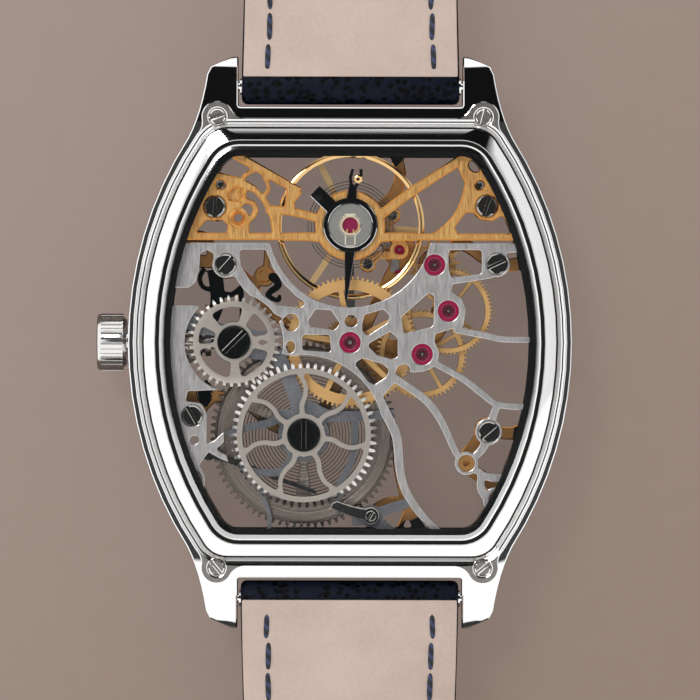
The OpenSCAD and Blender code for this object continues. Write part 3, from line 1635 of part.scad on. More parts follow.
module chapter_ring() {
  marks = 12;
  mark_h = 0.1;
  color("silver")
    difference() {
      union() {
        plate(case_front + touch_gap, flange_t)
          difference() {
            polygon(cavity_line(touch_gap + 0.02));
            polygon(window_line(0.05));
          }
        plate(case_front - mark_h, mark_h + 2 * touch_gap)
          intersection() {
            for (i = [0 : marks - 1])
              rotate(360 * i / marks)
                translate([0, window_l])
                  square([0.45, window_l / 2], center = true);
            difference() {
              polygon(window_line(front_grow - 0.1));
              polygon(window_line(0.12));
            }
          }
      }
    }
}

// Strap. The lining faces up, as the watch lies on its crystal.

fall_start = bar_y + 7;
fall_l = 24;
floor_gap = 0.05;
keeper_t = 0.8;
keeper_gap = 0.15;
lower_z = floor_gap + strap_t / 2;
upper_z = lower_z + keeper_t + keeper_gap;
lug_t = 2.5;
loop_r = 1.65;
function ease(t) = t <= 0 ? 0 : t >= 1 ? 1 : t * t * (3 - 2 * t);
function strap_z(y, flat_z) = bar_z + (flat_z - bar_z) * ease((y - fall_start) / fall_l);
function strap_thick(y) = lug_t + (strap_t - lug_t) * ease((y - bar_y - 3) / (fall_l + 6));
function strap_stations(l) = concat([for (i = [0 : 14]) bar_y + 0.8 + (fall_l + 8) * i / 14], [bar_y + l]);
function strap_side(l, flat_z) =
  let (s = strap_stations(l))
  concat([for (y = s) [y, strap_z(y, flat_z) - strap_thick(y) / 2]],
      [for (i = [len(s) - 1 : -1 : 0]) [s[i], strap_z(s[i], flat_z) + strap_thick(s[i]) / 2]]);

module strap_blank(l, flat_z, point) {
  taper_end = fall_start + fall_l;
  end_y = bar_y + l;
  intersection() {
    rotate([90, 0, 90])
      translate([0, 0, -strap_w / 2])
        linear_extrude(strap_w)
          polygon(strap_side(l, flat_z));
    plate(-1, 12)
      polygon(concat([[strap_w / 2, bar_y - 5], [strap_w / 2, bar_y + 1], [strap_end_w / 2, taper_end]],
        point ? concat([[strap_end_w / 2, end_y - 9]],
            bezier([strap_end_w / 2 - 0.4, end_y - 7], [strap_end_w / 2 - 3, end_y - 1], [0, end_y], 6),
            bezier([0, end_y], [3 - strap_end_w / 2, end_y - 1], [0.4 - strap_end_w / 2, end_y - 7], 6),
            [[-strap_end_w / 2, end_y - 9]])
           : [[strap_end_w / 2, end_y + 2], [-strap_end_w / 2, end_y + 2]],
        [[-strap_end_w / 2, taper_end], [-strap_w / 2, bar_y + 1], [-strap_w / 2, bar_y - 5]]));
  }
}

module strap_loop() {
  translate([-strap_w / 2, bar_y, bar_z])
    rotate([0, 90, 0])
      cylinder(r = loop_r, h = strap_w);
}

module bar_bore() {
  translate([-strap_w, bar_y, bar_z])
    rotate([0, 90, 0])
      cylinder(r = bar_r + running_gap + 0.02, h = 2 * strap_w);
}

buckle_bar_y = bar_y + upper_l - 1.6;
buckle_bar_z = upper_z;
buckle_bar_r = 0.55;
buckle_loop_r = 1.45;
tang_slot_w = 3;
tang_slot_l = 2.4;

module strap_upper() {
  color([0.1, 0.12, 0.25])
    difference() {
      union() {
        strap_blank(buckle_bar_y - tang_slot_l - bar_y, upper_z, false);
        strap_loop();
      }
      bar_bore();
    }
}

// The strap's folded end: two loops round the buckle's bar with the tang's slot between them
module buckle_loops() {
  color([0.1, 0.12, 0.25])
    difference() {
      union() {
        translate([-strap_end_w / 2, buckle_bar_y, buckle_bar_z])
          rotate([0, 90, 0])
            cylinder(r = buckle_loop_r, h = strap_end_w);
        rotate([90, 0, 90])
          translate([0, 0, -strap_end_w / 2])
            linear_extrude(strap_end_w)
              polygon([[buckle_bar_y - tang_slot_l, upper_z - strap_t / 2],
                [buckle_bar_y, upper_z - buckle_loop_r],
                [buckle_bar_y, upper_z + buckle_loop_r],
                [buckle_bar_y - tang_slot_l, upper_z + strap_t / 2]]);
      }
      translate([-strap_w, buckle_bar_y, buckle_bar_z])
        rotate([0, 90, 0])
          cylinder(r = buckle_bar_r + touch_gap, h = 2 * strap_w);
      translate([-tang_slot_w / 2, buckle_bar_y - 2 * tang_slot_l, -cut])
        cube([tang_slot_w, 4 * tang_slot_l, bar_z]);
    }
}

module strap_lower() {
  first_hole = 62;
  color([0.1, 0.12, 0.25])
    mirror([0, 1, 0])
      difference() {
        union() {
          strap_blank(lower_l, lower_z, true);
          strap_loop();
        }
        bar_bore();
        for (i = [0 : strap_holes - 1])
          hole_through([0, bar_y + first_hole + i * hole_pitch], 0.8, -cut, 5);
      }
}

tang_notch = 0.35;
module buckle() {
  frame_w = strap_end_w + 3.8;
  inner_w = strap_end_w + 0.8;
  reach = 9.5;
  t = 1.3;
  z0 = buckle_bar_z - t / 2;
  color("silver")
    translate([0, buckle_bar_y, 0])
      difference() {
        union() {
          plate(z0, t)
            difference() {
              eased(0.6)
                polygon(concat([[frame_w / 2, -1.2]],
                  bezier([frame_w / 2, reach - 3], [frame_w / 2 - 0.6, reach + 0.6], [0, reach + 1], 8),
                  bezier([0, reach + 1], [0.6 - frame_w / 2, reach + 0.6], [-frame_w / 2, reach - 3], 8),
                  [[-frame_w / 2, -1.2]]));
              polygon([[inner_w / 2, -5], [inner_w / 2, reach - 1.6], [-inner_w / 2, reach - 1.6],
                  [-inner_w / 2, -5]]);
            }
          translate([-inner_w / 2 - 0.5, 0, buckle_bar_z])
            rotate([0, 90, 0])
              cylinder(r = buckle_bar_r, h = inner_w + 1);
        }
        translate([-1.1, reach - 1.9, z0 - cut])
          cube([2.2, 5, cut + tang_notch]);
      }
}

module tang() {
  color("silver")
    translate([0, buckle_bar_y, 0])
      difference() {
        union() {
          translate([-1.1, 0, buckle_bar_z])
            rotate([0, 90, 0])
              cylinder(r = 1.15, h = 2.2);
          translate([0, 0, buckle_bar_z])
            rotate([90, 0, 90])
              translate([0, 0, -0.95])
                linear_extrude(1.9)
                polygon([[0, -1.1], [4, -1.25], [7.4, -1.2], [10.3, -1.2], [10.5, -1.0], [10.4, -0.4],
                  [7.4, -0.38], [4, -0.2], [0, 0.9]]);
        }
        translate([-5, 0, buckle_bar_z])
          rotate([0, 90, 0])
            cylinder(r = buckle_bar_r + running_gap, h = 10);
      }
}

fixed_keeper_back = 6.6;
fixed_keeper_w = 4.2;
free_keeper_back = 21;
free_keeper_w = 5;
module keeper(y, w) {
  side_gap = 0.25;
  height = 2 * strap_t + 0.9;
  translate([-strap_end_w / 2 - side_gap - keeper_t, y - w / 2, floor_gap])
    difference() {
      cube([strap_end_w + 2 * (side_gap + keeper_t), w, height + 2 * keeper_t]);
      translate([keeper_t, -cut, keeper_t])
        cube([strap_end_w + 2 * side_gap, w + 2 * cut, height]);
    }
}

module fixed_keeper() {
  color([0.1, 0.12, 0.25])
    keeper(buckle_bar_y - fixed_keeper_back, fixed_keeper_w);
}

module free_keeper() {
  color([0.1, 0.12, 0.25])
    keeper(buckle_bar_y - free_keeper_back, free_keeper_w);
}

case_body();
bezel();
front_crystal();
gaskets();
case_back();
back_crystal();
case_back_screws();
movement_ring();
crown_tube();
spring_bars();
chapter_ring();
main_plate();
train_bridge();
balance_bridge();
pallet_bridge();
bridge_screws();
jewels();
click_spring();
shock_setting();
shock_spring();
stud_carrier();
keyless_levers();
click();
regulator();
ratchet_wheel();
ratchet_screw();
barrel_arbor();
crown_wheel();
winding_pinion();
stem();
crown();
sliding_pinion();
barrel_drum();
barrel_cover();
mainspring();
centre_wheel();
centre_pinion();
third_wheel();
third_pinion();
fourth_wheel();
fourth_pinion();
escape_wheel();
escape_pinion();
pallet_fork();
pallet_stones();
balance_wheel();
balance_staff();
hairspring();
cannon_pinion();
minute_wheel();
hour_wheel();
minute_hand();
hour_hand();
strap_upper();
buckle_loops();
strap_lower();
buckle();
tang();
fixed_keeper();
free_keeper();
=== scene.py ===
# %% [markdown]
# # A skeleton watch seen from the back
# The CAD model already has every plate, wheel and screw in its place. This lesson
# dresses it: it copies the pieces whose edges catch the light and bevels them, makes
# the leather strap with its lining and stitches, winds finer springs, and gives each
# surface its own procedural material. First the imported model is loaded. The dressed
# watch may not grow past it.

# %% Load the imported model
import json
import math

import bmesh
import bpy
from mathutils import Matrix, Vector

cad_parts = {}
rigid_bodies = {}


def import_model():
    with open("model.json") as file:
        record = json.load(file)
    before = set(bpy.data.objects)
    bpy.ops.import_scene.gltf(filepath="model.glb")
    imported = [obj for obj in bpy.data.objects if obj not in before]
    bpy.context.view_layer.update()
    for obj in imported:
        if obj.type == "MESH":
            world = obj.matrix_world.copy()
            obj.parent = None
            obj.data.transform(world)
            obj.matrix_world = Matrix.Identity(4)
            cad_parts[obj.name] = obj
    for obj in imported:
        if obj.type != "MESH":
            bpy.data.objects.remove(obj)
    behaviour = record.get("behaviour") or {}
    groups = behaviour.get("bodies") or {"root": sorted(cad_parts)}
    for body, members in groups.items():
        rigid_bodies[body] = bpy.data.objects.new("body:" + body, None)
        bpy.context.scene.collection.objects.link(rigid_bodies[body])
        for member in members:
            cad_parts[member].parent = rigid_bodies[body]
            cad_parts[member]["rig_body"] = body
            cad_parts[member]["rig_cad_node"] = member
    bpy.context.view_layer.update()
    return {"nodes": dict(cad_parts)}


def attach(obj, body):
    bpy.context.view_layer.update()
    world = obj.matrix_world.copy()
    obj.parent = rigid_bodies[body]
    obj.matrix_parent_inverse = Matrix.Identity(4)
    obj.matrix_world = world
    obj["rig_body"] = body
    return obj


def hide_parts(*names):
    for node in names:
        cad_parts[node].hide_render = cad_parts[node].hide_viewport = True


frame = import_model()
NODES = frame["nodes"]
MM = 0.001
BARREL_AT, CROWN_WHEEL_AT = (-4.15, -8.35), (-10.45, 0)
BALANCE_AT, PALLET_AT = (0, 10.55), (4.45, 8.4)
print("nodes", len(NODES))


# %% [markdown]
# An operator works on whatever is selected, and loading leaves all the nodes
# selected. So every step starts by selecting one object only. These small helpers
# also give a finished piece its name, its body and its materials.

# %% Selecting and finishing pieces
def select_only(*objects):
    bpy.ops.object.select_all(action="DESELECT")
    for o in objects:
        o.select_set(True)
    bpy.context.view_layer.objects.active = objects[0]


def edit(obj):
    select_only(obj)
    bpy.ops.object.mode_set(mode="EDIT")
    return bmesh.from_edit_mesh(obj.data)


def done_editing(obj):
    bmesh.update_edit_mesh(obj.data)
    bpy.ops.object.mode_set(mode="OBJECT")


def new_piece(shape, **settings):
    """Adds a primitive with nothing else selected, and hands it out."""
    bpy.ops.object.select_all(action="DESELECT")
    getattr(bpy.ops.mesh, f"primitive_{shape}_add")(**settings)
    return bpy.context.active_object


def apply_modifier(obj, kind, **settings):
    select_only(obj)
    m = obj.modifiers.new(kind.title(), kind)
    for key, value in settings.items():
        setattr(m, key, value)
    bpy.ops.object.modifier_apply(modifier=m.name)


def bevel(obj, width, segments, degrees, **settings):
    apply_modifier(obj, "BEVEL", width=width * MM, segments=segments, limit_method="ANGLE",
                   angle_limit=math.radians(degrees), use_clamp_overlap=False, loop_slide=False, **settings)


def turn_outward():
    bpy.ops.mesh.select_all(action="SELECT")
    bpy.ops.mesh.normals_make_consistent(inside=False)


def smooth(obj, degrees):
    select_only(obj)
    bpy.ops.object.shade_smooth_by_angle(angle=math.radians(degrees))


def dress(obj, name, body, slot, *materials):
    obj.name = name
    obj.data.name = name
    held = obj.data.materials
    for i, m in enumerate(materials):
        if i < len(held):
            held[i] = m
        else:
            held.append(m)
    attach(obj, body)


def body_of_node(node):
    return NODES[node]["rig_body"]


def from_axis(point, axis):
    """How far a point lies from an upright axis, both in millimetres."""
    return math.hypot(point.x - axis[0], point.y - axis[1])


# %% [markdown]
# The photograph is taken straight down on the case back with a long lens. One pixel
# of it is 0.09 mm at the movement, so 700 pixels are 63 mm. The camera stands 0.6 m
# up, where the lens makes that field, and has the photograph's slight roll.

# %% Camera
FIELD = 63 * MM
HEIGHT = 0.6
FOCUS_Z = 7.5 * MM
camera = bpy.data.objects.new("camera", bpy.data.cameras.new("camera"))
bpy.context.scene.collection.objects.link(camera)
camera.data.sensor_width = 36
camera.data.lens = 36 * HEIGHT / FIELD
camera.data.clip_start = 0.01
camera.data.clip_end = 10
camera.location = (0, -0.675 * MM, FOCUS_Z + HEIGHT)
camera.rotation_euler = (0, 0, math.radians(0.12))
bpy.context.scene.camera = camera

# %% [markdown]
# Polished steel shows its surroundings and little else, so the studio is drawn to be
# reflected. A wide bright panel stands on the strap's lower side, a dark one on its
# upper side with a light strip behind it, and a panel on the left and on the right.
# Straight overhead hangs a small dark grey card. One soft lamp gives the light its
# direction.


# %% World and lamps
def feed(tree, socket, value):
    """Links a socket, or sets it where the value is a number or a colour."""
    if isinstance(value, bpy.types.NodeSocket):
        tree.links.new(value, socket)
    elif value is not None:
        socket.default_value = (*value, 1) if isinstance(value, tuple) and socket.type == "RGBA" else value


def ramp_node(tree, factor, stops):
    node = tree.nodes.new("ShaderNodeValToRGB")
    tree.links.new(factor, node.inputs["Fac"])
    ramp = node.color_ramp
    while len(ramp.elements) < len(stops):
        ramp.elements.new(0.5)
    for element, (at, value) in zip(ramp.elements, stops):
        element.position = at
        element.color = (value, value, value, 1) if isinstance(value, (int, float)) else (*value, 1)
    return node.outputs["Color"]


def math_node(tree, operation, a, b=None, c=None):
    node = tree.nodes.new("ShaderNodeMath")
    node.operation = operation
    for socket, value in zip(node.inputs, (a, b, c)):
        feed(tree, socket, value)
    return node.outputs[0]


world = bpy.data.worlds.new("studio")
bpy.context.scene.world = world
world.use_nodes = True
sky = world.node_tree
background = sky.nodes["Background"]
direction = sky.nodes.new("ShaderNodeTexCoord")
parts = sky.nodes.new("ShaderNodeSeparateXYZ")
sky.links.new(direction.outputs["Generated"], parts.inputs[0])
along = ramp_node(sky, math_node(sky, "MULTIPLY_ADD", parts.outputs["Y"], 0.5, 0.5),
                  [(0.0, 0.04), (0.05, 0.04), (0.075, 1.15), (0.44, 1.15), (0.465, 0.006), (0.82, 0.006),
                   (0.85, 1.2), (1.0, 1.2)])
across = ramp_node(sky, math_node(sky, "ABSOLUTE", parts.outputs["X"]),
                   [(0.0, 0.0), (0.34, 0.0), (0.52, 1.15), (0.84, 1.15), (0.90, 0.15), (1.0, 0.15)])
side = math_node(sky, "MULTIPLY_ADD", parts.outputs["X"], -0.2, 0.9)
boxes = math_node(sky, "MULTIPLY", across, side)
above = ramp_node(sky, parts.outputs["Z"], [(0.0, 0.0), (0.985, 0.0), (0.993, 0.05), (1.0, 0.05)])
strength = math_node(sky, "MAXIMUM", math_node(sky, "MAXIMUM", along, boxes),
                     above)
sky.links.new(strength, background.inputs["Strength"])
background.inputs["Color"].default_value = (1.0, 0.99, 0.975, 1)


def softbox(name, place, size, power):
    lamp = bpy.data.lights.new(name, "AREA")
    lamp.shape = "DISK"
    lamp.size = size
    lamp.energy = power
    obj = bpy.data.objects.new(name, lamp)
    bpy.context.scene.collection.objects.link(obj)
    obj.location = place
    obj.rotation_euler = Vector(place).to_track_quat("Z", "Y").to_euler()


softbox("key_lamp", (-0.30, 0.40, 0.80), 0.30, 2.4)
bpy.context.scene.view_settings.view_transform = "Standard"

# %% [markdown]
# The watch lies on a plain pale surface of a warm grey, which also shows through the
# openings of the movement. It is a wide plane with a faint paper grain.

# %% Floor
floor = new_piece("plane", size=3, location=(0, 0, -0.02 * MM))
floor.name = "floor"


# %% [markdown]
# ## Effects that several materials share
# Brushing, grain and small stains return on many surfaces, so each is a node group
# with named sockets. A group hands out colours, values and normals only. The shader
# itself stays in the material, where the exporter can read it.


# %% Node group helpers
def new_group(name, *inputs):
    """A group with these inputs after Vector, and with a colour, a roughness and a normal as outputs."""
    kinds = {"Colour": "Color", "Second": "Color", "Vector": "Vector", "Normal": "Vector"}
    group = bpy.data.node_groups.new(name, "ShaderNodeTree")
    for way, sockets in (("INPUT", ("Vector", *inputs)), ("OUTPUT", ("Colour", "Roughness", "Normal"))):
        for socket in sockets:
            kind = kinds.get(socket, "Float")
            group.interface.new_socket(socket, in_out=way, socket_type="NodeSocket" + kind)
    return group, group.nodes.new("NodeGroupInput").outputs


def hand_out(group, colour, roughness, normal):
    ends = group.nodes.new("NodeGroupOutput").inputs
    for socket, value in (("Colour", colour), ("Roughness", roughness), ("Normal", normal)):
        group.links.new(value, ends[socket])


def noise(tree, vector, scale, detail=2.0, roughness=0.5):
    node = tree.nodes.new("ShaderNodeTexNoise")
    for socket, value in (("Vector", vector), ("Scale", scale), ("Detail", detail), ("Roughness", roughness)):
        feed(tree, node.inputs[socket], value)
    return node.outputs["Fac"]


def mix_colour(tree, factor, a, b):
    node = tree.nodes.new("ShaderNodeMix")
    node.data_type = "RGBA"
    for i, value in ((0, factor), (6, a), (7, b)):
        feed(tree, node.inputs[i], value)
    return node.outputs[2]


def bump(tree, height, strength, distance):
    node = tree.nodes.new("ShaderNodeBump")
    for socket, value in (("Height", height), ("Strength", strength), ("Distance", distance)):
        feed(tree, node.inputs[socket], value)
    return node.outputs["Normal"]


def vector_math(tree, operation, vector, other=None):
    node = tree.nodes.new("ShaderNodeVectorMath")
    node.operation = operation
    tree.links.new(vector, node.inputs[0])
    if other is not None:
        node.inputs[1].default_value = other
    return node


# %% [markdown]
# Brushed metal is scratched in one direction. A noise that is stretched along Y gives
# fine vertical lines, which shift the colour a little, the roughness more, and tilt
# the normal.

# %% Group: brushing along Y
brushing, b_in = new_group("Brushing", "Colour", "Shade", "Roughness", "Spread", "Depth")
stretch = vector_math(brushing, "MULTIPLY", b_in["Vector"], (1.0, 0.06, 1.0)).outputs[0]
fine = noise(brushing, stretch, 12500, 2, 0.6)
coarse = noise(brushing, stretch, 3000, 2, 0.5)
both = math_node(brushing, "MULTIPLY_ADD", coarse, 0.12, math_node(brushing, "MULTIPLY", fine, 0.88))
lines = math_node(brushing, "SUBTRACT", both, 0.5)
shade = math_node(brushing, "MULTIPLY_ADD", math_node(brushing, "MULTIPLY", lines, b_in["Shade"]), 4.0, 1.0)
scaled = vector_math(brushing, "SCALE", b_in["Colour"])
brushing.links.new(shade, scaled.inputs["Scale"])
spread = math_node(brushing, "MULTIPLY", lines, b_in["Spread"])
hand_out(brushing, scaled.outputs[0], math_node(brushing, "MULTIPLY_ADD", spread, 3.0, b_in["Roughness"]),
         bump(brushing, both, b_in["Depth"], 0.002 * MM))

# %% [markdown]
# Blasted, cast and satin metal, leather and suede have an even grain instead. One
# group covers them: a noise at a given scale, mixed with a broad stain so that no
# surface is one flat colour.

# %% Group: grain and stain
grain, g_in = new_group("Grain", "Colour", "Second", "Scale", "Stain", "Roughness", "Spread", "Depth")
small = noise(grain, g_in["Vector"], g_in["Scale"], 4, 0.6)
broad = noise(grain, g_in["Vector"], math_node(grain, "MULTIPLY", g_in["Scale"], 0.06), 3, 0.5)
mixed = math_node(grain, "MULTIPLY_ADD", broad, 0.6, math_node(grain, "MULTIPLY", small, 0.4))
stain = math_node(grain, "MULTIPLY", mixed, g_in["Stain"])
uneven = math_node(grain, "SUBTRACT", small, 0.5)
hand_out(grain, mix_colour(grain, stain, g_in["Colour"], g_in["Second"]),
         math_node(grain, "MULTIPLY_ADD", uneven, g_in["Spread"], g_in["Roughness"]),
         bump(grain, small, g_in["Depth"], 0.02 * MM))

# %% [markdown]
# The barrel's drum and cover are snailed: fine circles run round the barrel's axis.
# The group measures the distance from that axis and turns it into rings, whose
# shade, roughness and height vary.

# %% Group: snailing round the barrel
snailing, s_in = new_group("Snailing", "Colour", "Second", "Rings", "Roughness", "Spread", "Depth")
offset = vector_math(snailing, "SUBTRACT", s_in["Vector"], (*(Vector(BARREL_AT) * MM), 0))
flat = vector_math(snailing, "MULTIPLY", offset.outputs[0], (1, 1, 0))
away = vector_math(snailing, "LENGTH", flat.outputs[0]).outputs["Value"]
rings = snailing.nodes.new("ShaderNodeTexNoise")
rings.noise_dimensions = "1D"
rings.inputs["Scale"].default_value = 1.0
rings.inputs["Detail"].default_value = 2.0
snailing.links.new(math_node(snailing, "MULTIPLY", away, s_in["Rings"]), rings.inputs["W"])
sharp = ramp_node(snailing, rings.outputs["Fac"], [(0.35, 0.0), (0.65, 1.0)])
hand_out(snailing, mix_colour(snailing, sharp, s_in["Colour"], s_in["Second"]),
         math_node(snailing, "MULTIPLY_ADD", sharp, s_in["Spread"], s_in["Roughness"]),
         bump(snailing, sharp, s_in["Depth"], 0.02 * MM))

# %% [markdown]
# ## Materials
# Each material places a group, sets its values, and keeps its own shader.


# %% Material helpers
def new_material(name, **settings):
    material = bpy.data.materials.new(name)
    material.use_nodes = True
    shader = material.node_tree.nodes["Principled BSDF"]
    for key, value in settings.items():
        shader.inputs[key.replace("_", " ")].default_value = value
    return material, material.node_tree, shader


def place_group(material, shader, group, **values):
    tree = material.node_tree
    node = tree.nodes.new("ShaderNodeGroup")
    node.node_tree = group
    coordinates = tree.nodes.new("ShaderNodeTexCoord")
    tree.links.new(coordinates.outputs["Object"], node.inputs["Vector"])
    for key, value in values.items():
        node.inputs[key].default_value = (*value, 1) if isinstance(value, tuple) else value
    for output, socket in (("Colour", "Base Color"), ("Roughness", "Roughness"), ("Normal", "Normal")):
        tree.links.new(node.outputs[output], shader.inputs[socket])


def brushed_metal(name, colour, roughness, shade, spread, depth):
    material, _, shader = new_material(name, Metallic=1.0)
    place_group(material, shader, brushing, Colour=colour, Roughness=roughness, Shade=shade, Spread=spread,
                Depth=depth)
    return material


def grained(name, colour, second, scale, stain, roughness, spread, depth, **settings):
    """The stain says how far the second colour shows, the spread how far the roughness varies."""
    material, _, shader = new_material(name, **settings)
    place_group(material, shader, grain, Colour=colour, Second=second, Scale=scale, Stain=stain,
                Roughness=roughness, Spread=spread, Depth=depth)
    return material


def metal(name, *values):
    return grained(name, *values, Metallic=1.0)


# %% [markdown]
# The case is mirror polished and the train bridge is rhodium grey with a vertical
# brushing. Its bevels are polished, so they have a material of their own. The balance
# bridge is rose gold; its polished bevels are the same gold painted a darker orange, a
# painted shade.

# %% Metals
polished_steel = metal("polished_steel", (0.90, 0.90, 0.91), (0.84, 0.84, 0.85), 900, 0.3, 0.05, 0.03, 0.003)
crown_steel = metal("crown_steel", (0.80, 0.79, 0.78), (0.66, 0.65, 0.64), 1800, 0.4, 0.16, 0.06, 0.02)
mirror_screw = metal("mirror_screw", (0.40, 0.39, 0.37), (0.28, 0.27, 0.26), 1500, 0.4, 0.07, 0.04, 0.01)
# Bright polish for the case back's cove; on the back crystal's edge it is a painted glint.
bright_polish_and_painted_glint = metal("bright_polish_and_painted_glint", (0.88, 0.87, 0.86), (0.70, 0.69, 0.68), 1500, 0.4, 0.36, 0.04, 0.01)
lyre_gold = metal("lyre_gold", (1.0, 0.93, 0.78), (0.92, 0.84, 0.66), 1500, 0.4, 0.45, 0.04, 0.01)
screw_edge = metal("screw_edge", (0.70, 0.69, 0.67), (0.52, 0.51, 0.49), 3000, 0.3, 0.12, 0.05, 0.01)
satin_steel = metal("satin_steel", (0.60, 0.57, 0.54), (0.44, 0.42, 0.40), 2500, 0.4, 0.25, 0.12, 0.04)
# Black for painted shade: the ledge under the back crystal and the main plate's outer rim.
painted_shade_black = grained("painted_shade_black", (0.006, 0.006, 0.006), (0.012, 0.012, 0.012), 2500, 0.4, 0.4, 0.1, 0.05,
                     Specular_IOR_Level=0.2)
grey_brushed = brushed_metal("grey_brushed", (0.60, 0.58, 0.585), 0.4, 0.28, 0.12, 0.1)
grey_sandblast = metal("grey_sandblast", (0.42, 0.43, 0.45), (0.08, 0.085, 0.10), 3400, 1.3, 0.5, 0.2, 0.35)
grey_bevel = metal("grey_bevel", (0.60, 0.58, 0.57), (0.46, 0.44, 0.43), 3000, 0.3, 0.24, 0.06, 0.02)
snailed, _, shader = new_material("snailed_barrel", Metallic=1.0)
place_group(snailed, shader, snailing, Colour=(0.52, 0.45, 0.39), Second=(0.20, 0.17, 0.145), Rings=9000.0,
            Roughness=0.2, Spread=0.2, Depth=0.35)
gold_brushed = brushed_metal("gold_brushed", (1.0, 0.52, 0.18), 0.4, 0.52, 0.12, 0.15)
# The polished bevels are the bridges' gold painted darker: painted shade.
gold_bevel_painted_shade = metal("gold_bevel_painted_shade", (0.62, 0.27, 0.06), (0.46, 0.18, 0.035), 3000, 0.4, 0.18, 0.1, 0.03)
copper_plate = metal("copper_plate", (0.72, 0.38, 0.14), (0.50, 0.24, 0.08), 3000, 0.5, 0.34, 0.15, 0.12)
wheel_gold = metal("wheel_gold", (1.0, 0.62, 0.26), (0.82, 0.46, 0.16), 1800, 0.35, 0.42, 0.08, 0.03)
rim_gold = metal("rim_gold", (1.0, 0.66, 0.30), (0.90, 0.54, 0.20), 1500, 0.3, 0.12, 0.05, 0.01)
balance_gold = metal("balance_gold", (1.0, 0.70, 0.36), (0.92, 0.58, 0.25), 1500, 0.3, 0.34, 0.05, 0.01)
wheel_steel = metal("wheel_steel", (0.80, 0.73, 0.66), (0.60, 0.54, 0.48), 2200, 0.4, 0.34, 0.1, 0.06)
shock_steel = metal("shock_steel", (0.64, 0.635, 0.60), (0.50, 0.50, 0.47), 2200, 0.4, 0.32, 0.1, 0.03)
wheel_edge = metal("wheel_edge", (0.80, 0.79, 0.77), (0.66, 0.65, 0.63), 3000, 0.3, 0.12, 0.05, 0.02)
black_polish = grained("black_polish", (0.004, 0.004, 0.004), (0.008, 0.008, 0.008), 3000, 0.5, 0.12, 0.06, 0.02,
                       Specular_IOR_Level=0.2)
dark_steel = metal("dark_steel", (0.20, 0.20, 0.20), (0.12, 0.12, 0.12), 3000, 0.5, 0.16, 0.1, 0.04)
coil_steel = metal("coil_steel", (0.36, 0.30, 0.25), (0.18, 0.15, 0.125), 2000, 0.4, 0.2, 0.08, 0.02)
spring_steel = metal("spring_steel", (0.74, 0.74, 0.74), (0.60, 0.60, 0.60), 2000, 0.4, 0.15, 0.08, 0.02)
rubber = grained("rubber", (0.004, 0.004, 0.004), (0.008, 0.008, 0.008), 4000, 0.5, 0.35, 0.2, 0.2,
                 Specular_IOR_Level=0.25)

# %% [markdown]
# A ruby bearing is a clear red stone, pink at its rim; the dark of its oil sink is
# painted shade. The two crystals are almost invisible, so they are mostly transparent
# with a thin gloss. The floor is painted darker from one corner to the other, a painted
# fall of light. Part of its tone is its own glow, so that it stays even, and in polished
# metal a dark glow stands in for it, a painted dark reflection.

# %% Stones, glass and floor
ruby = grained("ruby", (0.38, 0.010, 0.065), (0.26, 0.005, 0.04), 2500, 0.5, 0.06, 0.03, 0.01,
               Coat_Weight=0.4, Coat_Roughness=0.03)
ruby_rim = grained("ruby_rim", (0.34, 0.025, 0.10), (0.22, 0.012, 0.06), 2500, 0.5, 0.10, 0.04, 0.02,
                   Coat_Weight=0.6, Coat_Roughness=0.03)
# The two darker rubies paint the shade in the oil sink.
ruby_cup_painted_shade = grained("ruby_cup_painted_shade", (0.15, 0.004, 0.035), (0.08, 0.002, 0.02), 2500, 0.5, 0.3, 0.03, 0.01,
                   Specular_IOR_Level=0.15)
ruby_painted_shade = grained("ruby_painted_shade", (0.06, 0.0, 0.014), (0.03, 0.0, 0.006), 2500, 0.5, 0.2, 0.03, 0.01,
                     Specular_IOR_Level=0.3)
crystal = grained("crystal", (0.04, 0.05, 0.055), (0.03, 0.035, 0.04), 500, 0.2, 0.03, 0.02, 0.0, Alpha=0.05)
# A metal band on the glass: a painted reflection of the crystal's edge.
crystal_rim_painted_reflection = grained("crystal_rim_painted_reflection", (0.86, 0.88, 0.89), (0.7, 0.72, 0.73), 500, 0.2, 0.1, 0.02, 0.0, Alpha=0.6,
                      Metallic=1.0)
floor_with_painted_light = grained("floor_with_painted_light", (0.40, 0.32, 0.275), (0.36, 0.285, 0.245), 260, 0.5, 0.75, 0.1, 0.15,
                       Specular_IOR_Level=0.1)
tree = floor_with_painted_light.node_tree
where = tree.nodes.new("ShaderNodeTexCoord")
spot = tree.nodes.new("ShaderNodeSeparateXYZ")
tree.links.new(where.outputs["Object"], spot.inputs[0])
# The glow's colour falls from the top left to the bottom right: a painted fall of light.
slant = math_node(tree, "SUBTRACT", spot.outputs["X"], spot.outputs["Y"])
paper = noise(tree, where.outputs["Object"], 420, 4, 0.6)
painted_light_fall = math_node(tree, "MULTIPLY_ADD", paper, 0.25, math_node(tree, "MULTIPLY_ADD", slant, 8.5, 0.37))
painted_light_colour = ramp_node(tree, painted_light_fall, [(0.0, (0.355, 0.275, 0.243)), (1.0, (0.262, 0.194, 0.160))])
glow = tree.nodes.new("ShaderNodeEmission")
tree.links.new(painted_light_colour, glow.inputs["Color"])
sight = tree.nodes.new("ShaderNodeLightPath")
seen = math_node(tree, "MAXIMUM", sight.outputs["Is Camera Ray"], sight.outputs["Is Transmission Ray"])
share = math_node(tree, "MULTIPLY", seen, 0.72)
blend = tree.nodes.new("ShaderNodeMixShader")
tree.links.new(share, blend.inputs[0])
tree.links.new(tree.nodes["Principled BSDF"].outputs[0], blend.inputs[1])
tree.links.new(glow.outputs[0], blend.inputs[2])
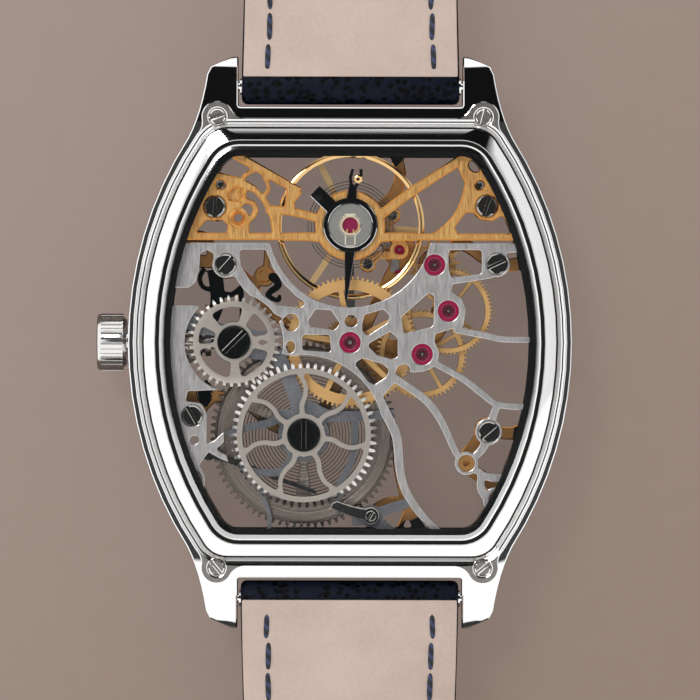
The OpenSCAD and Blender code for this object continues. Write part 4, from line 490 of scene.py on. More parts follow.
# Glossy rays see mostly this dark glow instead of the floor: a painted dark reflection.
shade = tree.nodes.new("ShaderNodeEmission")
shade.inputs["Color"].default_value = (0.02, 0.016, 0.013, 1)
painted_dark_reflection = tree.nodes.new("ShaderNodeMixShader")
tree.links.new(math_node(tree, "MULTIPLY", sight.outputs["Is Glossy Ray"], 0.7), painted_dark_reflection.inputs[0])
tree.links.new(blend.outputs[0], painted_dark_reflection.inputs[1])
tree.links.new(shade.outputs[0], painted_dark_reflection.inputs[2])
tree.links.new(painted_dark_reflection.outputs[0], tree.nodes["Material Output"].inputs["Surface"])
floor.data.materials.append(floor_with_painted_light)

# %% [markdown]
# The strap is goat leather, dyed navy, on a lining of pale pink suede. Its grain is a
# net of soft ridges round small pits about a millimetre apart, which the distance to
# the nearest cell centre of a Voronoi texture gives; the pits are painted darker than
# the ridges, a painted shade. The thread is twisted, so slanting bands run over it,
# and the dark of the grooves between its strands is painted shade.

# %% Leather, suede and thread
leather, tree, shader = new_material("navy_leather", Specular_IOR_Level=0.08)
place = tree.nodes.new("ShaderNodeTexCoord")
wander = noise(tree, place.outputs["Object"], 700, 3)
cells = tree.nodes.new("ShaderNodeTexVoronoi")
cells.feature = "F1"
cells.inputs["Scale"].default_value = 1500
tree.links.new(place.outputs["Object"], cells.inputs["Vector"])
ridge = ramp_node(tree, cells.outputs["Distance"], [(0.0, 0.0), (0.22, 0.05), (0.50, 0.85), (0.8, 1.0)])
wrinkle = noise(tree, place.outputs["Object"], 5200, 3, 0.6)
relief = math_node(tree, "MULTIPLY_ADD", wrinkle, 0.35, ridge)
tree.links.new(bump(tree, relief, 1.0, 0.09 * MM), shader.inputs["Normal"])
depth = math_node(tree, "MULTIPLY", relief, math_node(tree, "ADD", wander, 0.4))
# Navy leather whose pits are painted darker than the ridges: painted shade.
navy_with_painted_pit_shade = ramp_node(tree, depth, [(0.05, (0.0002, 0.0002, 0.0004)), (0.5, (0.0010, 0.0013, 0.0027)),
                               (1.0, (0.0055, 0.0075, 0.017))])
tree.links.new(navy_with_painted_pit_shade, shader.inputs["Base Color"])
tree.links.new(math_node(tree, "MULTIPLY_ADD", wander, 0.2, 0.34), shader.inputs["Roughness"])
suede = grained("suede", (0.70, 0.565, 0.50), (0.42, 0.325, 0.275), 3000, 1.0, 0.9, 0.1, 1.6, Sheen_Weight=0.1,
                Specular_IOR_Level=0.15)
thread, tree, shader = new_material("thread", Roughness=0.6, Sheen_Weight=0.3)
place = tree.nodes.new("ShaderNodeTexCoord")
twist = tree.nodes.new("ShaderNodeTexWave")
twist.bands_direction = "DIAGONAL"
twist.inputs["Scale"].default_value = 620
twist.inputs["Distortion"].default_value = 0.6
tree.links.new(place.outputs["Object"], twist.inputs["Vector"])
# The grooves between the twisted strands are painted dark: painted shade.
twist_with_painted_shade = ramp_node(tree, twist.outputs["Fac"], [(0.1, (0.002, 0.003, 0.008)), (0.6, (0.008, 0.014, 0.045)),
                                                 (1.0, (0.032, 0.052, 0.130))])
tree.links.new(twist_with_painted_shade, shader.inputs["Base Color"])
tree.links.new(bump(tree, twist.outputs["Fac"], 0.7, 0.05 * MM), shader.inputs["Normal"])

# %% [markdown]
# A CAD node whose shape is right only needs its material. The table names the nodes
# of each finish.

# %% Finishes of the CAD nodes
FINISHES = [
    (polished_steel, ["case_body", "bezel", "case_back", "crown", "crown_tube", "spring_bars", "buckle", "tang",
                      "case_back_screws", "stem", "minute_hand", "hour_hand"]),
    (crystal, ["front_crystal", "back_crystal"]),
    (rubber, ["gaskets"]),
    (satin_steel, ["movement_ring", "chapter_ring", "winding_pinion", "sliding_pinion", "barrel_arbor",
                   "centre_pinion", "third_pinion", "fourth_pinion", "escape_pinion", "pallet_fork",
                   "balance_staff", "cannon_pinion", "click", "shock_setting"]),
    (wheel_gold, ["centre_wheel", "third_wheel", "fourth_wheel", "escape_wheel", "minute_wheel", "hour_wheel",
                  "shock_spring"]),
    (balance_gold, ["balance_wheel"]),
    (copper_plate, ["main_plate"]),
    (gold_brushed, ["pallet_bridge", "balance_bridge"]),
    (grey_brushed, ["train_bridge"]),
    (snailed, ["barrel_drum", "barrel_cover"]),
    (wheel_steel, ["ratchet_wheel", "crown_wheel"]),
    (black_polish, ["ratchet_screw", "keyless_levers", "stud_carrier", "regulator"]),
    (dark_steel, ["bridge_screws", "click_spring"]),
    (spring_steel, ["hairspring", "mainspring"]),
    (ruby, ["jewels", "pallet_stones"]),
    (leather, ["strap_upper", "strap_lower", "fixed_keeper", "free_keeper", "buckle_loops"]),
]
for material, names in FINISHES:
    for name in names:
        NODES[name].data.materials.clear()
        NODES[name].data.materials.append(material)
left_bare = [n for n in NODES if n not in {x for _, names in FINISHES for x in names}]
print("nodes without a finish", left_bare)


# %% [markdown]
# ## Plates and wheels with polished edges
# A bridge of a good movement has its upper edges filed to a slope and polished. The
# CAD copy is loose triangles, so its doubles are merged first. Then its level top is
# inset by the slope's width and the old rim is lowered, which turns the strip between
# them into the slope. A bevel would do the same, but it trips over the many triangles
# that meet at each corner here.


# %% Copying a CAD piece and sloping its rims
def merged_copy(node):
    select_only(NODES[node])
    bpy.ops.object.duplicate()
    piece = bpy.context.active_object
    bpy.ops.object.parent_clear(type="CLEAR_KEEP_TRANSFORM")
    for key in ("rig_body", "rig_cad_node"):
        if key in piece:
            del piece[key]
    bpy.ops.mesh.customdata_custom_splitnormals_clear()
    edit(piece)
    bpy.ops.mesh.select_all(action="SELECT")
    bpy.ops.mesh.remove_doubles(threshold=0.002 * MM)
    done_editing(piece)
    return piece


LEVEL_WITHIN = 0.012


def level_faces(mesh, height):
    return [f for f in mesh.faces
            if f.normal.z > 0.999 and abs(f.calc_center_median().z / MM - height) < LEVEL_WITHIN]


def slope_rim(piece, height, width, drop, material=1):
    """Slopes the rim of the level faces at one height, all in millimetres."""
    mesh = edit(piece)
    bpy.ops.mesh.select_all(action="DESELECT")
    bpy.ops.mesh.select_mode(type="FACE")
    tops = level_faces(mesh, height)
    for f in tops:
        f.select_set(True)
    if not tops:
        done_editing(piece)
        return 0
    bpy.ops.mesh.inset(thickness=width * MM, depth=0, use_even_offset=True, use_boundary=True)
    mesh = bmesh.from_edit_mesh(piece.data)
    strip = [f for f in mesh.faces if not f.select and f.normal.z > 0.99
             and abs(f.calc_center_median().z / MM - height) < LEVEL_WITHIN]
    inner = {v for f in mesh.faces if f.select for v in f.verts}
    lowered = {v for f in strip for v in f.verts} - inner
    for f in strip:
        f.material_index = material
    for v in lowered:
        v.co.z -= drop * MM
    done_editing(piece)
    return len(strip)


def finish_copy(piece, node, name, slot, materials, degrees=18):
    dress(piece, name, body_of_node(node), slot, *materials)
    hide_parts(node)
    smooth(piece, degrees)


def sloped(node, rims, slot, *materials, other_levels=None):
    """A copy of a node with sloped rims, given as (height, width, drop)."""
    piece = merged_copy(node)
    strips = [slope_rim(piece, *rim) for rim in rims]
    for height, material in (other_levels or {}).items():
        mesh = edit(piece)
        for f in level_faces(mesh, height):
            f.material_index = material
        done_editing(piece)
    finish_copy(piece, node, node + "_polished", slot, materials)
    print(node, "strip faces", strips, "of", len(piece.data.polygons))
    return piece


# %% [markdown]
# The teeth of the two winding wheels are chamfered to a cone and polished, so the upper
# ones flash white and the lower ones go dark. Points of the top that lie outside the
# tooth root are lowered in proportion to how far out they are.


# %% Winding wheels with coned teeth
def winding_wheel(node, centre, root_r):
    piece = merged_copy(node)
    mesh = edit(piece)
    tip = max(from_axis(v.co / MM, centre) for v in mesh.verts)
    coned = 0
    for v in mesh.verts:
        out = from_axis(v.co / MM, centre) - root_r
        if out > 0.03 and v.co.z > 7.2 * MM:
            v.co.z -= out * 0.67 * MM
            coned += 1
    for f in mesh.faces:
        middle = f.calc_center_median() / MM
        if f.normal.z > 0.5 and from_axis(middle, centre) > root_r + 0.05:
            f.material_index = 1
    done_editing(piece)
    finish_copy(piece, node, node + "_polished", "wheel_steel", (wheel_steel, wheel_edge))
    print(node, "tip", round(tip, 2), "coned points", coned)


# %% [markdown]
# Two turning pieces get a hair more room: the balance rim passes close to the movement
# ring, and the pallet fork's pivot turns in a jewel hole whose sides are flats. Points
# within a ring round the axis are drawn in a little.


# %% Bridges and wheels
def drawn_in(piece, centre, nearest, farthest, factor):
    for v in piece.data.vertices:
        away = Vector((v.co.x - centre[0] * MM, v.co.y - centre[1] * MM, 0))
        if nearest * MM <= away.length <= farthest * MM:
            v.co -= away * (1 - factor)


sloped("train_bridge", [(7.5, 0.065, 0.025)], "bridge_grey", grey_brushed, grey_bevel, grey_sandblast,
       other_levels={6.78: 2})
sloped("balance_bridge", [(7.5, 0.12, 0.05)], "bridge_gold", gold_brushed, gold_bevel_painted_shade)
plate = sloped("main_plate", [(3.65, 0.09, 0.05)], "plate_copper", copper_plate, gold_bevel_painted_shade, painted_shade_black)
# Faces of the plate near its outer edge are painted black: painted shade.
for face in plate.data.polygons:
    middle = face.center / MM
    if abs(middle.y) > 16.1 or abs(middle.x) > 15.85 - 3.6 * (middle.y / 16.6) ** 2:
        face.material_index = 2
winding_wheel("ratchet_wheel", BARREL_AT, 6.1)
winding_wheel("crown_wheel", CROWN_WHEEL_AT, 3.9)
sloped("click", [(7.23, 0.05, 0.03)], "wheel_steel", dark_steel, wheel_steel)
sloped("pallet_bridge", [(4.75, 0.08, 0.04)], "bridge_gold", gold_brushed, gold_bevel_painted_shade)
sloped("regulator", [(7.85, 0.05, 0.04)], "black_steel", black_polish, dark_steel)
sloped("stud_carrier", [(8.07, 0.05, 0.04)], "black_steel", black_polish, polished_steel)
sloped("keyless_levers", [(4.35, 0.05, 0.05)], "black_steel", black_polish, dark_steel)
sloped("shock_setting", [(7.78, 0.06, 0.04)], "wheel_steel", shock_steel, polished_steel)
for wheel, top in (("centre_wheel", 6.13), ("third_wheel", 5.06), ("fourth_wheel", 5.66), ("escape_wheel", 4.16)):
    sloped(wheel, [(top, 0.035, 0.025)], "wheel_gold", wheel_gold, rim_gold)
balance_rim = sloped("balance_wheel", [(5.45, 0.26, 0.08)], "wheel_gold", balance_gold, rim_gold)
drawn_in(balance_rim, BALANCE_AT, 6.6, 7.0, 0.991)
fork = sloped("pallet_fork", [], "wheel_steel", satin_steel)
drawn_in(fork, PALLET_AT, 0.0, 0.15, 0.86)
sloped("barrel_drum", [(4.4, 0.05, 0.05)], "wheel_steel", snailed, satin_steel)
sloped("barrel_cover", [(5.7, 0.06, 0.06)], "wheel_steel", snailed, satin_steel)
# The back crystal's edge gets a bright metal strip and a grey metal band: a painted reflection.
sloped("back_crystal", [(9.6, 0.14, 0.03, 2), (9.6, 0.34, 0.10)], "crystal", crystal, crystal_rim_painted_reflection, bright_polish_and_painted_glint)

# %% Screws with turned edges
screws = sloped("bridge_screws", [(7.7, 0.05, 0.04), (7.73, 0.05, 0.04), (7.58, 0.05, 0.04), (4.87, 0.04, 0.03)],
                "screw_steel", mirror_screw, screw_edge, black_polish)
HEAD_R = 1.30
for face in screws.data.polygons:
    away = from_axis(face.center / MM, CROWN_WHEEL_AT)
    if away < 2.0 and (face.material_index == 0 or away > HEAD_R):
        face.material_index = 2
screw = sloped("ratchet_screw", [(7.68, 0.05, 0.04)], "black_steel", black_polish, screw_edge)
for face in screw.data.polygons:
    if from_axis(face.center / MM, BARREL_AT) > HEAD_R:
        face.material_index = 0
sloped("case_back_screws", [(9.1, 0.09, 0.07)], "case_steel", satin_steel, polished_steel)

# %% [markdown]
# A bearing jewel has an oil sink: a shallow cup round the pivot. The flat top of the
# stone is bright crimson with a sloped, slightly violet rim. The cup is painted dark as
# painted shade: its outer part dark red and its middle almost black. The distance from
# the jewel's own axis decides which of the two a face of the cup gets.

# %% Jewels with oil sinks
JEWEL_SPOTS = [(0, 0), (6.5, -1.05), (8.85, 2.85), (7.6, 7.0), PALLET_AT, BALANCE_AT]
STONE_TOP = 7.45
jewel_set = merged_copy("jewels")
slope_rim(jewel_set, STONE_TOP, 0.06, 0.04, material=0)
mesh = edit(jewel_set)
for f in mesh.faces:
    middle = f.calc_center_median() / MM
    away = min(from_axis(middle, spot) for spot in JEWEL_SPOTS)
    if f.normal.z > 0.9 and abs(middle.z - STONE_TOP) < 0.02:
        f.material_index = 1
    # Faces of the cup get the painted shade: dark red outside, almost black in the middle.
    elif f.normal.z > 0.5 and 7.1 < middle.z < 7.44 and away < 0.6:
        f.material_index = 3 if away > 0.40 else 2
    elif f.normal.z > 0.9 and middle.z < 5:
        f.material_index = 1
done_editing(jewel_set)
finish_copy(jewel_set, "jewels", "jewels_polished", "ruby", (ruby_rim, ruby, ruby_painted_shade, ruby_cup_painted_shade), 18)
print("jewels", len(jewel_set.data.polygons))

# %% [markdown]
# The case back is one turned and milled piece with a finish for each zone. The ledge
# under the back crystal and the walls below it are painted black, a painted shade, so
# that no light line shows through the glass. The cove round the glass and its ring are
# polished, and the steep part of the cove is painted black, a painted dark reflection.
# The low step round them is dark, the four ears are satin and the rest is mirror
# polished. The edges of the flange and of the step slope.

# %% Case back
back = merged_copy("case_back")
mesh = edit(back)
LEDGE_Z, STEP_Z, FLANGE_Z, RING_Z = 8.5, 8.85, 9.0, 9.8
# The ledge under the glass is painted black: painted shade.
for f in level_faces(mesh, LEDGE_Z):
    f.material_index = 1
for f in mesh.faces:
    middle = f.calc_center_median() / MM
    level = f.normal.z > 0.999
    # The walls below the ledge are painted black too: painted shade.
    if middle.z < LEDGE_Z and abs(f.normal.z) < 0.3 and abs(middle.x) < 16.7 and abs(middle.y) < 17.2:
        f.material_index = 1
    # The steep part of the cove gets black polish: a painted dark reflection.
    elif 8.86 < middle.z < 9.5 and 0.35 < f.normal.z < 0.86:
        f.material_index = 2 if f.normal.z < 0.6 else 3
    elif level and abs(middle.z - RING_Z) < 0.02:
        f.material_index = 3
    elif level and abs(middle.z - STEP_Z) < 0.02:
        f.material_index = 5
    elif level and abs(middle.z - FLANGE_Z) < 0.02 and 10.2 < abs(middle.x) < 13.8 and abs(middle.y) > 19:
        f.material_index = 4
done_editing(back)
slope_rim(back, FLANGE_Z, 0.085, 0.03, material=0)
slope_rim(back, STEP_Z, 0.09, 0.03, material=0)
finish_copy(back, "case_back", "case_back_polished", "case_steel",
            (polished_steel, painted_shade_black, black_polish, bright_polish_and_painted_glint, satin_steel, dark_steel), 12)


# %% [markdown]
# The case's edges are crisp but not sharp: each is broken by a tiny polished round
# that shows as a white line. Here a Bevel modifier limited by angle does it, because
# the lofted flanks meet at clear angles. The buckle and the two leather keepers are
# rounded the same way.


# %% Case, buckle and keepers with broken edges
def rounded(node, name, width, slot, material, segments=2, degrees=18):
    piece = merged_copy(node)
    edit(piece)
    bpy.ops.mesh.select_all(action="SELECT")
    bpy.ops.mesh.dissolve_limited(angle_limit=math.radians(0.5))
    done_editing(piece)
    bevel(piece, width, segments, 32, offset_type="OFFSET", miter_outer="MITER_ARC", material=0)
    finish_copy(piece, node, name, slot, (material,), degrees)
    print(name, "faces", len(piece.data.polygons))


rounded("case_body", "case_body_polished", 0.14, "case_steel", polished_steel)
rounded("buckle", "buckle_polished", 0.15, "case_steel", polished_steel, segments=3)
for keeper in ("fixed_keeper", "free_keeper"):
    rounded(keeper, keeper + "_leather", 0.3, "navy_leather", leather, segments=3, degrees=40)

# %% [markdown]
# The crown is knurled with fine flutes. A cylinder of 72 sides stands in for the turned
# blank, and every second side is pushed in to make 36 flutes. Insets of falling radius
# make the domed cap at the outer end and the narrow neck at the inner one. The measures
# come from the CAD crown.

# %% Crown with fine flutes
crown_points = [Vector(c) for c in NODES["crown"].bound_box]
crown_low, crown_high = crown_points[0], crown_points[6]
crown_r = (crown_high.y - crown_low.y) / 2 - 0.02 * MM
crown_l = crown_high.x - crown_low.x - 0.78 * MM
crown_middle = Vector((crown_high.x - 0.36 * MM - crown_l / 2, 0, (crown_low.z + crown_high.z) / 2))
crown = new_piece("cylinder", vertices=72, radius=crown_r, depth=crown_l, end_fill_type="NGON",
                  rotation=(0, math.radians(-90), 0), location=crown_middle)
bpy.ops.object.transform_apply()
mesh = edit(crown)
bpy.ops.mesh.select_mode(type="FACE")
for end, steps in ((-1, ((0.115, 0.28), (0.14, 0.08), (0.9, 0.04))), (1, ((0.25, 0.0), (0.30, 0.34)))):
    bpy.ops.mesh.select_all(action="DESELECT")
    for f in mesh.faces:
        f.select_set(len(f.verts) > 10 and f.normal.x * end > 0.9)
    for width, rise in steps:
        bpy.ops.mesh.inset(thickness=width * MM, depth=rise * MM if end < 0 else 0)
        if end > 0:
            bpy.ops.transform.translate(value=(rise * MM, 0, 0))
    mesh = bmesh.from_edit_mesh(crown.data)
sides = sorted((f for f in mesh.faces if abs(f.normal.x) < 0.1 and f.calc_area() > 0.2 * MM * MM),
               key=lambda f: math.atan2(f.calc_center_median().z - crown_middle.z, f.calc_center_median().y))
bpy.ops.mesh.select_all(action="DESELECT")
for f in sides[::2]:
    f.select_set(True)
bpy.ops.mesh.inset(thickness=0.035 * MM, depth=-0.13 * MM, use_individual=True)
done_editing(crown)
finish_copy(crown, "crown", "crown_fluted", "case_steel", (crown_steel,), 25)
print("crown flutes", len(sides[::2]), "faces", len(crown.data.polygons))

# %% [markdown]
# ## The strap
# Each half hangs from the case on a spring bar, falls to the table and runs flat. It
# is modelled as the strap maker builds it: a leather core folded round the bar, a
# suede lining glued on its inner side a little inside its edges, and a row of
# stitches along each side. The core starts as a small box, whose end face is extruded
# along the strap; each new end takes the width and height of its place.

# %% Strap measures
BAR_Y, BAR_Z, LOOP_R = 23.05, 6.6, 1.65
FALL_START, FALL_L = BAR_Y + 7, 24.0
LUG_T, STRAP_T = 2.5, 1.9
STRAP_W, STRAP_END_W = 19.6, 18.0
LOWER_Z = 0.05 + STRAP_T / 2
UPPER_Z = LOWER_Z + 0.8 + 0.15
BUCKLE_BAR_Y = BAR_Y + 75 - 1.6
TIP_L, TIP_Y = 9, BAR_Y + 112


def ease(t):
    t = min(max(t, 0), 1)
    return t * t * (3 - 2 * t)


def strap_middle(y, flat_z):
    return BAR_Z + (flat_z - BAR_Z) * ease((y - FALL_START) / FALL_L)


def strap_thick(y):
    return LUG_T + (STRAP_T - LUG_T) * ease((y - BAR_Y - 3) / (FALL_L + 6))


def strap_width(y):
    t = min(max((y - BAR_Y - 1) / (FALL_START + FALL_L - BAR_Y - 1), 0), 1)
    return STRAP_W + (STRAP_END_W - STRAP_W) * t


def strap_section(y, flat_z):
    """Half width, lowest and highest z of the core at a distance from the middle."""
    if y < BAR_Y:
        half = math.sqrt(max(LOOP_R ** 2 - (BAR_Y - y) ** 2, 0.01))
    else:
        t = min((y - BAR_Y) / 2.2, 1)
        half = LOOP_R + (strap_thick(y) / 2 - LOOP_R) * ease(t)
    middle = strap_middle(y, flat_z)
    return strap_width(y) / 2, middle - half, middle + half


# %% Extruding a bar along stations
def extruded(side, stations):
    """A bar through stations of (y, half width, low z, high z), in millimetres."""
    bar = new_piece("cube", size=MM)
    mesh = edit(bar)
    first, second = [v for v in mesh.verts if v.co.y < 0], [v for v in mesh.verts if v.co.y > 0]
    place_ring(mesh, first, side, stations[0])
    place_ring(mesh, second, side, stations[1])
    bpy.ops.mesh.select_mode(type="FACE")
    bpy.ops.mesh.select_all(action="DESELECT")
    end = max(mesh.faces, key=lambda f: side * f.calc_center_median().y)
    end.select_set(True)
    for station in stations[2:]:
        bmesh.update_edit_mesh(bar.data)
        bpy.ops.mesh.extrude_region_move(TRANSFORM_OT_translate={"value": (0, side * MM, 0)})
        mesh = bmesh.from_edit_mesh(bar.data)
        place_ring(mesh, [v for v in mesh.verts if v.select], side, station)
    turn_outward()
    done_editing(bar)
    return bar


def place_ring(mesh, verts, side, station):
    y, half, low, high = station
    middle = sum(v.co.z for v in verts) / len(verts)
    for v in verts:
        v.co = Vector((math.copysign(half, v.co.x), side * y, high if v.co.z > middle else low)) * MM


def spaced(a, b, count):
    return [a + (b - a) * i / count for i in range(count + 1)]


def strap_stations(near_ys, flat_z, end_y, pointed):
    """Close stations near the case, wider ones on the flat, then a rounded tip or a square end."""
    ys = near_ys + spaced(FALL_START + FALL_L + 3, end_y - TIP_L, 10)
    if pointed:
        ys += [end_y - TIP_L + TIP_L * math.sin(math.radians(a)) for a in (12, 25, 38, 50, 62, 72, 81, 87)]
    else:
        ys += [end_y - 4, end_y]
    stations = []
    for y in ys:
        half, low, high = strap_section(y, flat_z)
        t = (y - end_y + TIP_L) / TIP_L
        if pointed and t > 0:
            half *= math.sqrt(max(1 - t ** 2, 0.0)) * 0.55 + 0.45 * (1 - t ** 4)
        stations.append((y, half, low, high))
    return stations


# %% Strap cores
def strap_core(node, side, flat_z, end_y, pointed=False):
    loop = [BAR_Y - LOOP_R * math.cos(math.radians(a)) for a in (14, 32, 50, 68, 84)]
    near_ys = loop + spaced(BAR_Y + 0.4, FALL_START + FALL_L, 34)
    core = extruded(side, strap_stations(near_ys, flat_z, end_y, pointed))
    bevel(core, 0.5, 3, 50)
    finish_copy(core, node, node + "_leather", "navy_leather", (leather,), 40)
    print(core.name, "faces", len(core.data.polygons))
    return core


strap_core("strap_upper", 1, UPPER_Z, BUCKLE_BAR_Y - 2.4)
lower_core = strap_core("strap_lower", -1, LOWER_Z, TIP_Y, pointed=True)


# %% [markdown]
# The lining is a thin layer of the same kind, proud of the core by a fifth of a
# millimetre. Its cut edge is slightly wavy, so each station is moved in or out by a few
# hundredths of a millimetre.


# %% Lining
def lining(node, side, flat_z, start_y, end_y, pointed=False):
    near_ys = spaced(start_y, FALL_START + FALL_L, 34)
    layer = extruded(side, [(y, max(half - 0.12 + 0.03 * math.sin(y * 7.3), 0.2), high - 0.3, high + 0.22)
                            for y, half, low, high in strap_stations(near_ys, flat_z, end_y, pointed)])
    bevel(layer, 0.13, 2, 50)
    dress(layer, node + "_lining", body_of_node(node), "navy_leather", suede)
    smooth(layer, 40)
    return layer


lining("strap_upper", 1, UPPER_Z, 23.9, BUCKLE_BAR_Y - 3.2)
lower_lining = lining("strap_lower", -1, LOWER_Z, 23.15, TIP_Y - 0.7, pointed=True)

# %% [markdown]
# The buckle's holes are punched through leather and lining together once they are
# glued. Here one set of round punches cuts both with a Boolean modifier.

# %% Buckle holes
FIRST_HOLE, HOLE_PITCH, HOLES = 62, 6.5, 7
punches = []
for i in range(HOLES):
    y = -(BAR_Y + FIRST_HOLE + i * HOLE_PITCH)
    punches.append(new_piece("cylinder", vertices=20, radius=0.8 * MM, depth=12 * MM, location=(0, y * MM, 2 * MM)))
select_only(*punches)
bpy.ops.object.join()
punch = bpy.context.active_object
for piece in (lower_core, lower_lining):
    before = len(piece.data.polygons)
    apply_modifier(piece, "BOOLEAN", object=punch, operation="DIFFERENCE", solver="EXACT")
    smooth(piece, 40)
    print(piece.name, "punched, faces", before, "to", len(piece.data.polygons))
bpy.data.objects.remove(punch)


# %% [markdown]
# A stitch is a thick twisted thread that comes up from one hole and goes down in the
# next. One is modelled as a spindle, by scaling and lifting the end of a seven-sided
# ring as it is extruded. It is copied along both sides, and its ends dip into the
# leather.


# %% Stitches
def spindle(length, radius):
    stitch = new_piece("circle", vertices=7, radius=radius * 0.45 * MM, fill_type="NGON",
                       rotation=(math.radians(90), 0, 0))
    bpy.ops.object.transform_apply()
    mesh = edit(stitch)
    bpy.ops.mesh.select_all(action="SELECT")
    bpy.ops.transform.translate(value=(0, -length / 2 * MM, -radius * 0.9 * MM))
    profile = [0.45, 0.85, 1.0, 1.0, 1.0, 0.85, 0.45]
    for i in range(1, len(profile)):
        rise = radius * (0.9 if i in (1, len(profile) - 1) else 0.0) * (1 if i == 1 else -1)
        bpy.ops.mesh.extrude_region_move(
            TRANSFORM_OT_translate={"value": (0, length / (len(profile) - 1) * MM, rise * MM)})
        grow = profile[i] / profile[i - 1]
        bpy.ops.transform.resize(value=(grow, 1, grow))
    turn_outward()
    bpy.ops.transform.resize(value=(1, 1, 0.7), center_override=(0, 0, 0))
    done_editing(stitch)
    return stitch


def row_of(piece, places):
    """Copies of a piece at places of (x, y, z, slope angle, turn), joined, in millimetres."""
    copies = []
    for x, y, z, pitch, turn in places:
        select_only(piece)
        bpy.ops.object.duplicate()
        copy = bpy.context.active_object
        copy.matrix_world = (Matrix.Translation(Vector((x, y, z)) * MM) @ Matrix.Rotation(pitch, 4, "X")
                             @ Matrix.Rotation(turn, 4, "Z"))
        copies.append(copy)
    select_only(*copies)
    bpy.ops.object.join()
    bpy.ops.object.transform_apply()
    return bpy.context.active_object


stitch = spindle(2.85, 0.27)
STITCH_X, STITCH_PITCH = 7.45, 2.8


def stitch_rows(node, side, flat_z, first_y, last_y):
    places = []
    count = int((last_y - first_y) / STITCH_PITCH)
    for i in range(count + 1):
        y = first_y + i * STITCH_PITCH
        slope = math.atan2(strap_middle(y + 0.5, flat_z) - strap_middle(y - 0.5, flat_z), 1.0) * side
        half, low, high = strap_section(y, flat_z)
        for s in (-1, 1):
            x = s * (STITCH_X - (STRAP_W / 2 - half))
            wobble = math.sin(i * 2.4 + s) * 0.05
            places.append((x + wobble, side * y, high + 0.21, slope, math.sin(i * 1.7 + s * 2) * 0.04))
            places.append((x - wobble, side * (y + STITCH_PITCH / 2), low + 0.30, slope, wobble))
    rows = row_of(stitch, places)
    dress(rows, node + "_stitches", body_of_node(node), "navy_leather", thread)
    smooth(rows, 60)
    print(rows.name, "stitches", len(places), "faces", len(rows.data.polygons))


stitch_rows("strap_upper", 1, UPPER_Z, 25.6, BUCKLE_BAR_Y - 6)
stitch_rows("strap_lower", -1, LOWER_Z, 25.4, BAR_Y + 100)
bpy.data.objects.remove(stitch)


# %% [markdown]
# ## Springs
# A hairspring is a fine ribbon in an even spiral, and the mainspring in the barrel is
# a broad one. A spiral of even pitch is a chain of half circles, drawn round two
# centres in turn: each is half a pitch wider than the last. The spin operator sweeps
# the ribbon's end face through each half turn.


# %% Spirals
def spiral(axis, inner_r, outer_r, turns, ribbon_t, low_z, high_z, start_angle=0.0):
    pitch = (outer_r - inner_r) / turns
    ribbon = new_piece("plane", size=MM)
    mesh = edit(ribbon)
    for v in mesh.verts:
        r = inner_r + (ribbon_t / 2 if v.co.x > 0 else -ribbon_t / 2)
        v.co = Vector((r, 0, high_z if v.co.y > 0 else low_z)) * MM
    bmesh.update_edit_mesh(ribbon.data)
    bpy.ops.mesh.select_all(action="SELECT")
    for i in range(int(turns * 2)):
        middle = (0 if i % 2 == 0 else pitch / 2) * MM
        bpy.ops.mesh.spin(steps=18, angle=math.pi, center=(middle, 0, 0), axis=(0, 0, 1))
    bpy.ops.mesh.select_all(action="SELECT")
    bpy.ops.mesh.remove_doubles(threshold=0.001 * MM)
    turn_outward()
    done_editing(ribbon)
    ribbon.matrix_world = Matrix.Translation(Vector((*axis, 0)) * MM) @ Matrix.Rotation(start_angle, 4, "Z")
    select_only(ribbon)
    bpy.ops.object.transform_apply()
    return ribbon


hairspring = spiral(BALANCE_AT, 1.0, 4.1, 11, 0.075, 5.62, 5.80, math.radians(20))
finish_copy(hairspring, "hairspring", "hairspring_coils", "spring_steel", (spring_steel,), 40)
mainspring = spiral(BARREL_AT, 1.75, 7.3, 19, 0.075, 4.3, 5.3)
finish_copy(mainspring, "mainspring", "mainspring_coils", "spring_steel", (coil_steel,), 40)
print("spring faces", len(hairspring.data.polygons), len(mainspring.data.polygons))

# %% [markdown]
# A tiny lyre spring holds the balance jewel: a ring round the stone, open where two
# legs run down to a foot, with a short bar across its far side. The ring is spun from
# a small square, and the legs, the foot and the bar are small boxes.

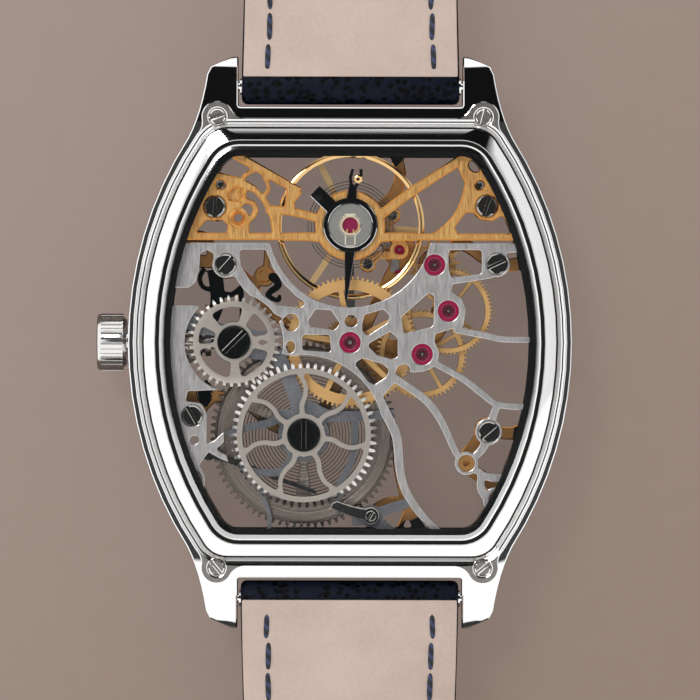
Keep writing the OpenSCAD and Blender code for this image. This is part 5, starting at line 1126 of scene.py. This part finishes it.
# %% Lyre spring of the shock setting
lyre = new_piece("plane", size=0.12 * MM)
mesh = edit(lyre)
for v in mesh.verts:
    away, start = 0.82 * MM + v.co.x, math.radians(-58)
    v.co = Vector((away * math.cos(start), away * math.sin(start), v.co.y))
bmesh.update_edit_mesh(lyre.data)
bpy.ops.mesh.select_all(action="SELECT")
bpy.ops.mesh.spin(steps=30, angle=math.radians(296), center=(0, 0, 0), axis=(0, 0, 1))
for x, y, wide, long in ((-0.43, -1.34, 0.11, 1.14), (0.43, -1.34, 0.11, 1.14), (0, -1.88, 0.97, 0.12),
                         (0, 0.95, 0.95, 0.18)):
    bpy.ops.mesh.primitive_cube_add(size=MM, location=(x * MM, y * MM, 0))
    bpy.ops.transform.resize(value=(wide, long, 0.1), center_override=(x * MM, y * MM, 0))
turn_outward()
bpy.ops.transform.translate(value=Vector((*BALANCE_AT, 7.84)) * MM)
done_editing(lyre)
dress(lyre, "lyre_spring", body_of_node("shock_setting"), "wheel_steel", lyre_gold)
smooth(lyre, 30)
print("lyre spring faces", len(lyre.data.polygons))

# %% [markdown]
# Small turned parts sit in the balance bridge: two steady pins in their holes, the
# hairspring's stud with a black square end, and a gilt pin in the regulator's fork.
# Each is a short cylinder whose top is inset and raised like a turned crown.


# %% Pins and studs
def turned_pin(name, node, spot, radius, low_z, high_z, sides, slot, material, angle=0.0):
    pin = new_piece("cylinder", vertices=sides, radius=radius * MM, depth=(high_z - low_z) * MM,
                    end_fill_type="NGON", rotation=(0, 0, angle),
                    location=Vector((*spot, (low_z + high_z) / 2)) * MM)
    bpy.ops.object.transform_apply()
    mesh = edit(pin)
    bpy.ops.mesh.select_mode(type="FACE")
    bpy.ops.mesh.select_all(action="DESELECT")
    for f in mesh.faces:
        f.select_set(f.normal.z > 0.9)
    bpy.ops.mesh.inset(thickness=radius * 0.25 * MM, depth=radius * 0.10 * MM)
    bpy.ops.mesh.inset(thickness=radius * 0.30 * MM, depth=-radius * 0.15 * MM)
    done_editing(pin)
    dress(pin, name, body_of_node(node), slot, material)
    smooth(pin, 25)


for name, spot in (("steady_pin_left", (-11.75, 14.25)), ("steady_pin_right", (11.7, 14.2))):
    turned_pin(name, "balance_bridge", spot, 0.42, 6.4, 7.2, 20, "wheel_steel", dark_steel)
turned_pin("stud_end", "stud_carrier", (-2.85, 13.05), 0.36, 7.7, 8.12, 4, "wheel_steel", black_polish,
           angle=math.radians(8))
turned_pin("regulator_pin", "regulator", (0.72, 14.70), 0.40, 7.3, 7.95, 6, "wheel_gold", rim_gold)
